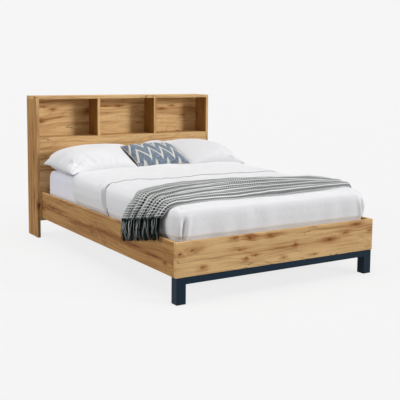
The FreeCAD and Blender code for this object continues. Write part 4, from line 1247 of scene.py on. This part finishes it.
class BED_OT_pillows(bpy.types.Operator):
    """Two pillows with ear corners, leaning on the headboard and dented by the cushion"""
    bl_idname = "bed.pillows"
    bl_label = "Pillows"

    def execute(self, context):
        bedding = context.scene.bed_bedding
        cotton = cotton_material("Pillow cotton", [part * PILLOW_SHADE for part in bedding.cotton])
        for side, name in ((-1.0, "pillow_left"), (1.0, "pillow_right")):
            piece = self.pillow(side, name + "_case", bedding)
            give_material(piece, cotton)
            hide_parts(name)
            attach(piece, name)
        return {"FINISHED"}

    def pillow(self, side, name, bedding):
        a, b, face, quads = pad_grid(bedding.pillow_cells, bedding.pillow_cells * 3 // 4)
        inner, outer = PILLOW_ENDS
        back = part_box("headboard_front_board")[0].y - PILLOW_BEHIND
        share = (a + 1.0) / 2.0         # 0 at the inner end, 1 at the outer end
        depth = (b + 1.0) / 2.0         # 0 at the front, 1 at the back
        front = PILLOW_FRONT[0] + (PILLOW_FRONT[1] - PILLOW_FRONT[0]) * share
        x = inner + (outer - inner) * share
        x -= PILLOW_DRAW * (1.0 - b ** 2) * np.sign(a) * np.abs(a) ** 5
        y = front + (back - front) * depth
        y += PILLOW_DRAW * (1.0 - a ** 2) * ((1.0 - depth) ** 4 - depth ** 4)
        # slack ears beyond the stuffing
        ear = (np.abs(a) * np.abs(b)) ** 4 * (a > 0.0)
        y -= np.where(b < 0.0, *EAR_SLACK) * ear
        height, slope, level = PILLOW_SEAM
        seam = height + slope * (y - level) - np.where(b > 0.0, EAR_DROP, 0.0) * ear
        crown = bedding.left_crown if side < 0 else bedding.right_crown
        firmness = PILLOW_FIRMNESS[side]
        full = pad_fullness(a, b, firmness, np.where(a < 0.0, INNER_FIRMNESS, 1.0) * firmness)
        z = seam + np.where(face > 0, crown, -PILLOW_UNDERSIDE) * full
        points = np.stack([x * side, y, z], axis=1)
        keep_off_mattress(points)
        if side < 0:
            quads = [quad[::-1] for quad in quads]
        piece = mesh_piece(name, points, quads)
        face_outwards(piece)
        rim = np.maximum(np.abs(a), np.abs(b))
        swell(piece, smooth_step(rim, 0.93, 0.985) * 0.9, **PILLOW_SWELL)
        self.crease(piece, side)
        self.dent(piece)
        apply_modifier(piece, "SUBSURF", levels=1, render_levels=1)
        smooth_shaded(piece)
        return piece

    @staticmethod
    def crease(piece, side):
        """Folds that run out of the corners, as stuffing pulls at the seams."""
        points, normals = read_skin(piece)
        lift = 0.0016 * ripples(points, 0.20, 31 + int(side))
        for ear, climb, spokes in EARS:
            for reach, turn, width, rise in spokes:
                angle = math.radians(turn)
                way = (-reach * math.cos(angle), reach * math.sin(angle), climb)
                lift += folds(points, [(np.array(ear), np.add(ear, way), width, rise)], side)
        if side > 0:
            lift += folds(points, SLACK_CREASES)
        points += normals * lift[:, None]
        keep_off_mattress(points)
        points[:, 1] = np.minimum(points[:, 1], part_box("headboard_front_board")[0].y - 0.004)
        write_points(piece, points)

    @staticmethod
    def dent(piece):
        """Push what lies inside the cushion's place back, in the cushion's own frame."""
        matrix = np.array(cushion_matrix())
        points = read_points(piece)
        local = (points - matrix[:3, 3]) @ matrix[:3, :3]
        half_width, half_depth = [size / 2.0 + DENT_ROOM for size in CUSHION_SIZE]
        along = local[:, 1] - half_depth
        a = np.clip(local[:, 0] / half_width, -1.0, 1.0)
        b = np.clip(along / half_depth, -1.0, 1.0)
        beside = np.maximum(np.abs(local[:, 0]) - half_width, 0.0)
        before = np.maximum(-along - half_depth, 0.0)
        behind = np.maximum(along - half_depth, 0.0)
        limit = -CUSHION_CROWN * pad_fullness(a, b) - 0.001
        limit += DENT_BANK * np.hypot(beside, before) + DENT_BACK * behind
        # a soft minimum rounds the rim of the dent
        gap = (local[:, 2] - limit) / DENT_BLEND
        eased = limit - DENT_BLEND * np.log1p(np.exp(-np.clip(gap, -30.0, 30.0)))
        local[:, 2] = np.where(local[:, 2] > limit - 4.0 * DENT_BLEND,
                               np.minimum(eased, local[:, 2]), local[:, 2])
        points = local @ matrix[:3, :3].T + matrix[:3, 3]
        keep_off_mattress(points)
        write_points(piece, points)


class BED_OT_cushion(bpy.types.Operator):
    """Scatter cushion with woven zigzag lines and a corded edge"""
    bl_idname = "bed.cushion"
    bl_label = "Cushion"

    def execute(self, context):
        look = context.scene.bed_cushion
        a, b, face, quads = pad_grid(44, 40)
        half_width, half_depth = [size / 2.0 for size in CUSHION_SIZE]
        x = a * (half_width - CUSHION_DRAW * (1.0 - b ** 2) * np.abs(a) ** 3)
        y = half_depth + b * (half_depth - CUSHION_DRAW * (1.0 - a ** 2) * np.abs(b) ** 3)
        z = face * CUSHION_CROWN * pad_fullness(a, b) * 0.93
        local = np.stack([x, y, z, np.ones(len(x))], axis=1)
        points = (local @ np.array(cushion_matrix()).T)[:, :3]
        piece = mesh_piece("zigzag_cushion", points, quads)
        face_outwards(piece)
        rim = np.maximum(np.abs(a), np.abs(b))
        swell(piece, smooth_step(rim, 0.94, 0.985), **CUSHION_SWELL)
        apply_modifier(piece, "SUBSURF", levels=1, render_levels=1)
        smooth_shaded(piece)
        give_material(piece, self.cover(look))
        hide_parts("scatter_cushion")
        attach(piece, "scatter_cushion")
        self.edge_cord(look)
        return {"FINISHED"}

    @staticmethod
    def edge_cord(look):
        """Cord round the seam, corner to corner along its four drawn-in sides."""
        half_width, half_depth = [size / 2.0 for size in CUSHION_SIZE]
        shares = np.linspace(-1.0, 1.0, 31)[:-1]
        route = []
        for corner in range(4):
            for share in shares:
                a, b = ((share, -1.0), (1.0, share), (-share, 1.0), (-1.0, -share))[corner]
                pull = CUSHION_DRAW * (1.0 - share ** 2)
                if corner % 2:
                    x, y = a * (half_width - pull), half_depth + b * half_depth
                else:
                    x, y = a * half_width, half_depth + b * (half_depth - pull)
                route.append(cushion_matrix() @ Vector((x, y, 0.0)))
        cord = cord_along("cushion_cord", route, 0.0032, closed=True)
        give_material(cord, cotton_material("Cushion cord", look.piping, threads=2200.0))
        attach(cord, "scatter_cushion")

    @staticmethod
    def cover(look):
        """Zigzag rows woven into a speckled ground, in the cushion's own plane."""
        material, graph, principled = new_material(
            "Zigzag weave", Roughness=0.9, Specular_IOR_Level=0.2, Sheen_Weight=0.2)
        place = graph.own_place()
        back = cushion_matrix().inverted()
        mapping = graph.put("ShaderNodeMapping", {
            "Vector": place, "Location": back.to_translation(), "Rotation": back.to_euler()})
        a, b, _ = graph.split(graph.out(mapping))
        # tooth: 0 in a valley and 1 at a peak, steep on its left and longer on its right
        in_tooth = graph.maths("FRACT", (a + look.period * ZIGZAG_START) / look.period)
        climb = in_tooth / STEEP
        fall = (1.0 - in_tooth) / (1.0 - STEEP)
        above = b - (graph.maths("MINIMUM", climb, fall) * look.swing + ZIGZAG_FOOT)
        nearest = abs((above + look.spacing * 4.5) % look.spacing - look.spacing / 2.0)
        climbing = graph.maths("LESS_THAN", in_tooth, STEEP)
        run = climbing * (2.0 * STEEP - 1.0) + (1.0 - STEEP)
        sideways = nearest * run * (look.period / look.swing)
        ragged = graph.noise(place, scale=150.0, detail=1.0) * 0.004 + sideways
        half = look.line_width / 2.0
        line = graph.step(ragged, half + 0.0035, half + 0.0005)
        # speckled ground of two blues with small pale flecks
        threads = graph.sine(a * 1900.0) * graph.sine(b * 1900.0)
        cloud = graph.noise(place, scale=75.0, detail=3.0, roughness=0.7)
        ground = graph.mixed(graph.step(cloud, 0.35, 0.7), solid(look.ground, 0.62),
                             solid(look.ground, 1.5))
        fleck = graph.step(graph.noise(place, scale=330.0, detail=0.0), 0.60, 0.72)
        ground = graph.mixed(fleck * 0.35, ground, solid(look.line))
        colour = graph.mixed(line, ground, solid(look.line))
        dress_shader(graph, principled, colour, bump=(threads * 0.3 + line, 0.0010, 0.8))
        return material


# ------------------------------------------------------------------ throw
THROW_FOLDS = 5
THROW_STEPS_ALONG = 190
THROW_STEPS_ACROSS = 72
THROW_THICKNESS = 0.003
SIDE_REACH = 0.733          # how far out the hanging ends lie, just outside the rails
BEND = 0.080                # radius over the edge of the bed
FOLD_RISE = 0.027           # height of a fold on top of the bed
FOLD_SKEW = 0.50            # below 1, folds are steeper towards the foot of the bed
FOLD_FADE = (0.66, 0.86)    # where folds get lower towards the head edge, and by what share
FOLD_FADED = 0.60
FOLD_WANDER = 0.06
HANG_SPREAD = 0.80          # place among the throw's edges where its hanging part ends
LEFT_HEM = (0.470, 0.374)   # height of the left hem at its foot side and its head side
RIGHT_HEM = (0.420, 0.400)
PALE_EVERY = 6              # every sixth strand of the fringe is a pale one
PALE_STRAND = (0.80, 0.84, 0.82)
STRAND_RADIUS = {"dark": 0.0038, "pale": 0.0012}
STRAND_LEAN = {"dark": 0.008, "pale": 0.022}        # usual lean of a strand, either way
STRAND_CURL = {"dark": 0.4, "pale": 1.0}            # share of the greatest curl
STRAND_OUT = {"dark": (0.0, 0.004), "pale": (0.006, 0.009)}     # how far it stands out
STRAND_STEPS = 8
DOT_SIZE = (0.36, 0.37)     # half a dot's width and length, in pitches
# place across the bed, then the throw's foot and head edges along the bed
THROW_EDGES = (
    (-1.00, -0.970, -0.480), (-0.90, -0.980, -0.512), (-0.80, -0.994, -0.560),
    (-0.74, -1.004, -0.588), (-0.68, -1.008, -0.555), (-0.60, -1.010, -0.505),
    (-0.48, -1.012, -0.440), (-0.24, -1.015, -0.370), (0.06, -1.018, -0.374),
    (0.34, -1.012, -0.425), (0.56, -0.985, -0.510), (0.68, -0.940, -0.590),
    (0.78, -0.900, -0.625), (0.90, -0.895, -0.645), (1.00, -0.895, -0.650),
)


def hem_to_middle(hem, top):
    """Length of the cloth from a hem, over the bend, to the middle line of the bed."""
    return max(top - BEND - hem, 0.0) + BEND * math.pi / 2.0 + SIDE_REACH - BEND


class BED_OT_throw(bpy.types.Operator):
    """Woven throw across the foot of the bed, with a fringe at both ends"""
    bl_idname = "bed.throw"
    bl_label = "Throw"

    def execute(self, context):
        look = context.scene.bed_throw
        cloth = self.cloth(look)
        fringes = self.fringe(cloth, look)
        apply_modifier(cloth, "SOLIDIFY", thickness=THROW_THICKNESS, offset=1.0)
        smooth_shaded(cloth)
        give_material(cloth, self.weave(look))
        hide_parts("throw")
        for piece in [cloth] + fringes:
            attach(piece, "throw")
        return {"FINISHED"}

    @staticmethod
    def station(s, hem, top):
        """Place on the way up from a hem: reach and height, outward direction, spread.

        The reach counts outwards from the middle of the bed; the spread runs from 1 at
        the hem to 0 on the middle line and picks the edges' places along the bed.
        """
        centre = SIDE_REACH - BEND
        hang = max(top - BEND - hem, 0.0)
        arc = BEND * math.pi / 2.0
        if s < hang:
            return (SIDE_REACH, hem + s), (1.0, 0.0), 1.0 - (1.0 - HANG_SPREAD) * s / hang
        if s < hang + arc:
            angle = (s - hang) / BEND
            normal = (math.cos(angle), math.sin(angle))
            place = (centre + normal[0] * BEND, top - BEND + normal[1] * BEND)
            left = 1.0 - angle / (math.pi / 2.0)
            return place, normal, centre + (HANG_SPREAD - centre) * left
        reach = centre - (s - hang - arc)
        return (reach, top), (0.0, 1.0), reach

    def cloth(self, look):
        """The cloth as a grid, laid on the duvet with folds that take up its spare width."""
        cover = bpy.data.objects["duvet_cover"]
        tree = BVHTree.FromObject(cover, bpy.context.evaluated_depsgraph_get())
        across, foot_edge, head_edge = np.array(THROW_EDGES).T
        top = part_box("duvet")[1].z - 0.007
        half = hem_to_middle(LEFT_HEM[1], top)
        self.length = 2.0 * half
        points = []
        outwards = []
        flat = []
        for row in range(THROW_STEPS_ALONG + 1):
            v = row / THROW_STEPS_ALONG * 2.0 - 1.0
            side = -1.0 if v < 0.0 else 1.0
            hems = LEFT_HEM if v < 0.0 else RIGHT_HEM
            for column in range(THROW_STEPS_ACROSS + 1):
                t = column / THROW_STEPS_ACROSS
                hem = hems[0] + (hems[1] - hems[0]) * t
                s = (1.0 - abs(v)) * hem_to_middle(hem, top)
                (x, z), (nx, nz), spread = self.station(s, hem, top)
                foot = np.interp(side * spread, across, foot_edge)
                head = np.interp(side * spread, across, head_edge)
                rise = FOLD_RISE * (1.0 - FOLD_FADED * float(smooth_step(t, *FOLD_FADE)))
                wander = FOLD_WANDER * math.sin(4.0 * x * side + 2.0 * t)
                turn = (THROW_FOLDS * t + wander) % 1.0
                out = rise * (0.5 - 0.5 * math.cos(2.0 * math.pi * turn ** FOLD_SKEW)) + 0.003
                points.append((side * (x + nx * out), foot + (head - foot) * t, z + nz * out))
                outwards.append((side * nx, 0.0, nz))
                flat.append((t * look.width, (v + 1.0) * half))
        points = self.settle(np.array(points), np.array(outwards), tree)
        columns = THROW_STEPS_ACROSS + 1
        faces = []
        for i in range(THROW_STEPS_ALONG):
            for j in range(THROW_STEPS_ACROSS):
                first = i * columns + j
                faces.append((first, first + columns, first + columns + 1, first + 1))
        piece = mesh_piece("woven_throw", points, faces)
        layer = piece.data.uv_layers.new(name="Cloth")
        for loop in piece.data.loops:
            layer.data[loop.index].uv = flat[loop.vertex_index]
        return piece

    @staticmethod
    def settle(points, outwards, tree):
        """Let the cloth down onto the duvet, crumple it a little, keep it outside."""
        columns = THROW_STEPS_ACROSS + 1
        above, reach, deepest, gap = 0.05, 0.15, 0.035, 0.003
        pull = np.zeros(len(points))
        for index, (point, outward) in enumerate(zip(points, outwards)):
            start = Vector(point) + Vector(outward) * above
            hit = tree.ray_cast(start, -Vector(outward), reach)
            if hit[0] is not None:
                pull[index] = hit[3] - above
        # the lowest gap in each row over the folds' valleys is what the row sinks by
        gaps = pull.reshape(-1, columns)
        fold_wide = columns // THROW_FOLDS
        sunk = np.empty_like(gaps)
        for column in range(columns):
            near = gaps[:, max(0, column - fold_wide // 2):column + fold_wide // 2 + 1]
            sunk[:, column] = near.min(axis=1)
        sunk = np.clip(sunk - gap, 0.0, deepest).ravel() * outwards[:, 2] ** 0.5
        points = points - outwards * sunk[:, None]
        points = points + outwards * (0.0014 * ripples(points, 0.09, 41))[:, None]
        points[:, 1] += 0.004 * ripples(points, 0.30, 42)
        for index, point in enumerate(points):
            hit, normal, _, _ = tree.find_nearest(Vector(point), above)
            if hit is not None and (Vector(point) - hit).dot(normal) < gap:
                points[index] = hit + normal * gap
        grid = points.reshape(-1, columns, 3)
        for _ in range(2):
            middle = (grid[:-2] + grid[2:]) / 2.0
            grid[1:-1] = grid[1:-1] * 0.5 + middle * 0.5
        return grid.reshape(-1, 3)

    def fringe(self, cloth, look):
        """Loose strands knotted on at both hems, dark ones with pale ones between."""
        points = read_points(cloth).reshape(-1, THROW_STEPS_ACROSS + 1, 3)
        strands = {"dark": [], "pale": []}
        chance = np.random.default_rng(77)
        for side, hem in ((-1.0, points[0]), (1.0, points[-1])):
            shares = np.linspace(0.0, THROW_STEPS_ACROSS, len(hem))
            for index in range(look.strands):
                t = (index + chance.uniform(-0.3, 0.3)) / look.strands * THROW_STEPS_ACROSS
                root = np.array([np.interp(t, shares, hem[:, k]) for k in range(3)])
                kind = "dark" if index % PALE_EVERY else "pale"
                strands[kind].append(self.strand_route(root, side, kind, look, chance))
        pieces = []
        for kind, routes in strands.items():
            piece = self.strand_mesh("throw_fringe_" + kind, routes, STRAND_RADIUS[kind])
            colour = look.dark if kind == "dark" else PALE_STRAND
            give_material(piece, yarn_material("Fringe " + kind, colour))
            pieces.append(piece)
        return pieces

    @staticmethod
    def strand_route(root, side, kind, look, chance):
        """Places down one loose strand, which leans and curls by chance."""
        length = look.fringe * chance.uniform(0.88, 1.0)
        lean = chance.normal(0.0, STRAND_LEAN[kind])
        curl = chance.uniform(-0.012, 0.012) * STRAND_CURL[kind]
        out = chance.uniform(*STRAND_OUT[kind])
        route = []
        for t in np.linspace(0.0, 1.0, STRAND_STEPS + 1):
            x = root[0] + side * (out * math.sin(math.pi * t) + 0.001)
            y = root[1] + lean * t ** 1.5 + curl * math.sin(2.0 * math.pi * t)
            route.append((x, y, root[2] + 0.006 - length * t))
        return route

    @staticmethod
    def strand_mesh(name, routes, thickness):
        """All strands of one colour in one mesh: triangular tubes that thin to a tip."""
        points = []
        faces = []
        corners = [(math.cos(a), math.sin(a)) for a in (0.5, 0.5 + 2.094, 0.5 + 4.189)]
        for route in routes:
            start = len(points)
            rings = len(route)
            for ring, (x, y, z) in enumerate(route):
                radius = thickness * (1.0 - 0.45 * ring / rings)
                points += [(x + radius * c, y + radius * s, z) for c, s in corners]
            for ring in range(rings - 1):
                low = start + ring * 3
                for k, n in ((0, 1), (1, 2), (2, 0)):
                    faces.append((low + k, low + 3 + k, low + 3 + n, low + n))
            faces.append((start, start + 1, start + 2))
            last = start + (rings - 1) * 3
            faces.append((last + 2, last + 1, last))
        piece = mesh_piece(name, points, faces)
        face_outwards(piece)
        return piece

    @staticmethod
    def weave(look):
        """Rows of dark dots woven into a pale ground."""
        material, graph, principled = new_material(
            "Dotted weave", Roughness=0.92, Specular_IOR_Level=0.2, Sheen_Weight=0.15)
        u, v, _ = graph.split(graph.out(graph.put("ShaderNodeUVMap", uv_map="Cloth")))
        across, along = [
            graph.step(abs(graph.maths("FRACT", part / look.pitch) - 0.5), size + 0.05, size - 0.05)
            for part, size in zip((u, v), DOT_SIZE)]
        dots = across * along
        fuzz = graph.noise(graph.own_place(), scale=500.0, detail=1.0)
        ground = graph.mixed(fuzz, solid(look.pale, 0.86), solid(look.pale))
        colour = graph.mixed(dots, ground, solid(look.dark))
        dress_shader(graph, principled, colour, bump=(dots + fuzz, 0.0015, 0.8))
        return material


# ------------------------------------------------------------------ panel and run
STEPS = (
    BED_OT_stage, BED_OT_boards, BED_OT_slat_base, BED_OT_metalwork, BED_OT_mattress,
    BED_OT_duvet, BED_OT_pillows, BED_OT_cushion, BED_OT_throw,
)
SETTINGS = {
    "bed_studio": StudioSettings,
    "bed_oak": OakSettings,
    "bed_steel": SteelSettings,
    "bed_bedding": BeddingSettings,
    "bed_cushion": CushionSettings,
    "bed_throw": ThrowSettings,
}


class BED_PT_panel(bpy.types.Panel):
    """Steps that build the look of the bed"""
    bl_idname = "BED_PT_panel"
    bl_label = "Bed"
    bl_space_type = "VIEW_3D"
    bl_region_type = "UI"
    bl_category = "Bed"

    def draw(self, context):
        for step in STEPS:
            self.layout.operator(step.bl_idname)
        for name, settings in SETTINGS.items():
            holder = getattr(context.scene, name)
            for key in settings.__annotations__:
                self.layout.prop(holder, key)


def register():
    for kind in list(SETTINGS.values()) + list(STEPS) + [BED_PT_panel]:
        bpy.utils.register_class(kind)
    for name, settings in SETTINGS.items():
        setattr(bpy.types.Scene, name, PointerProperty(type=settings))


def unregister():
    for name in SETTINGS:
        delattr(bpy.types.Scene, name)
    for kind in [BED_PT_panel] + list(STEPS)[::-1] + list(SETTINGS.values()):
        bpy.utils.unregister_class(kind)


def main():
    register()
    make_knot_group()
    make_wood_group()
    make_eased_edge_group()
    make_cotton_group()
    for step in STEPS:
        group, name = step.bl_idname.split(".")
        getattr(getattr(bpy.ops, group), name)()


if __name__ == "__main__":
    main()
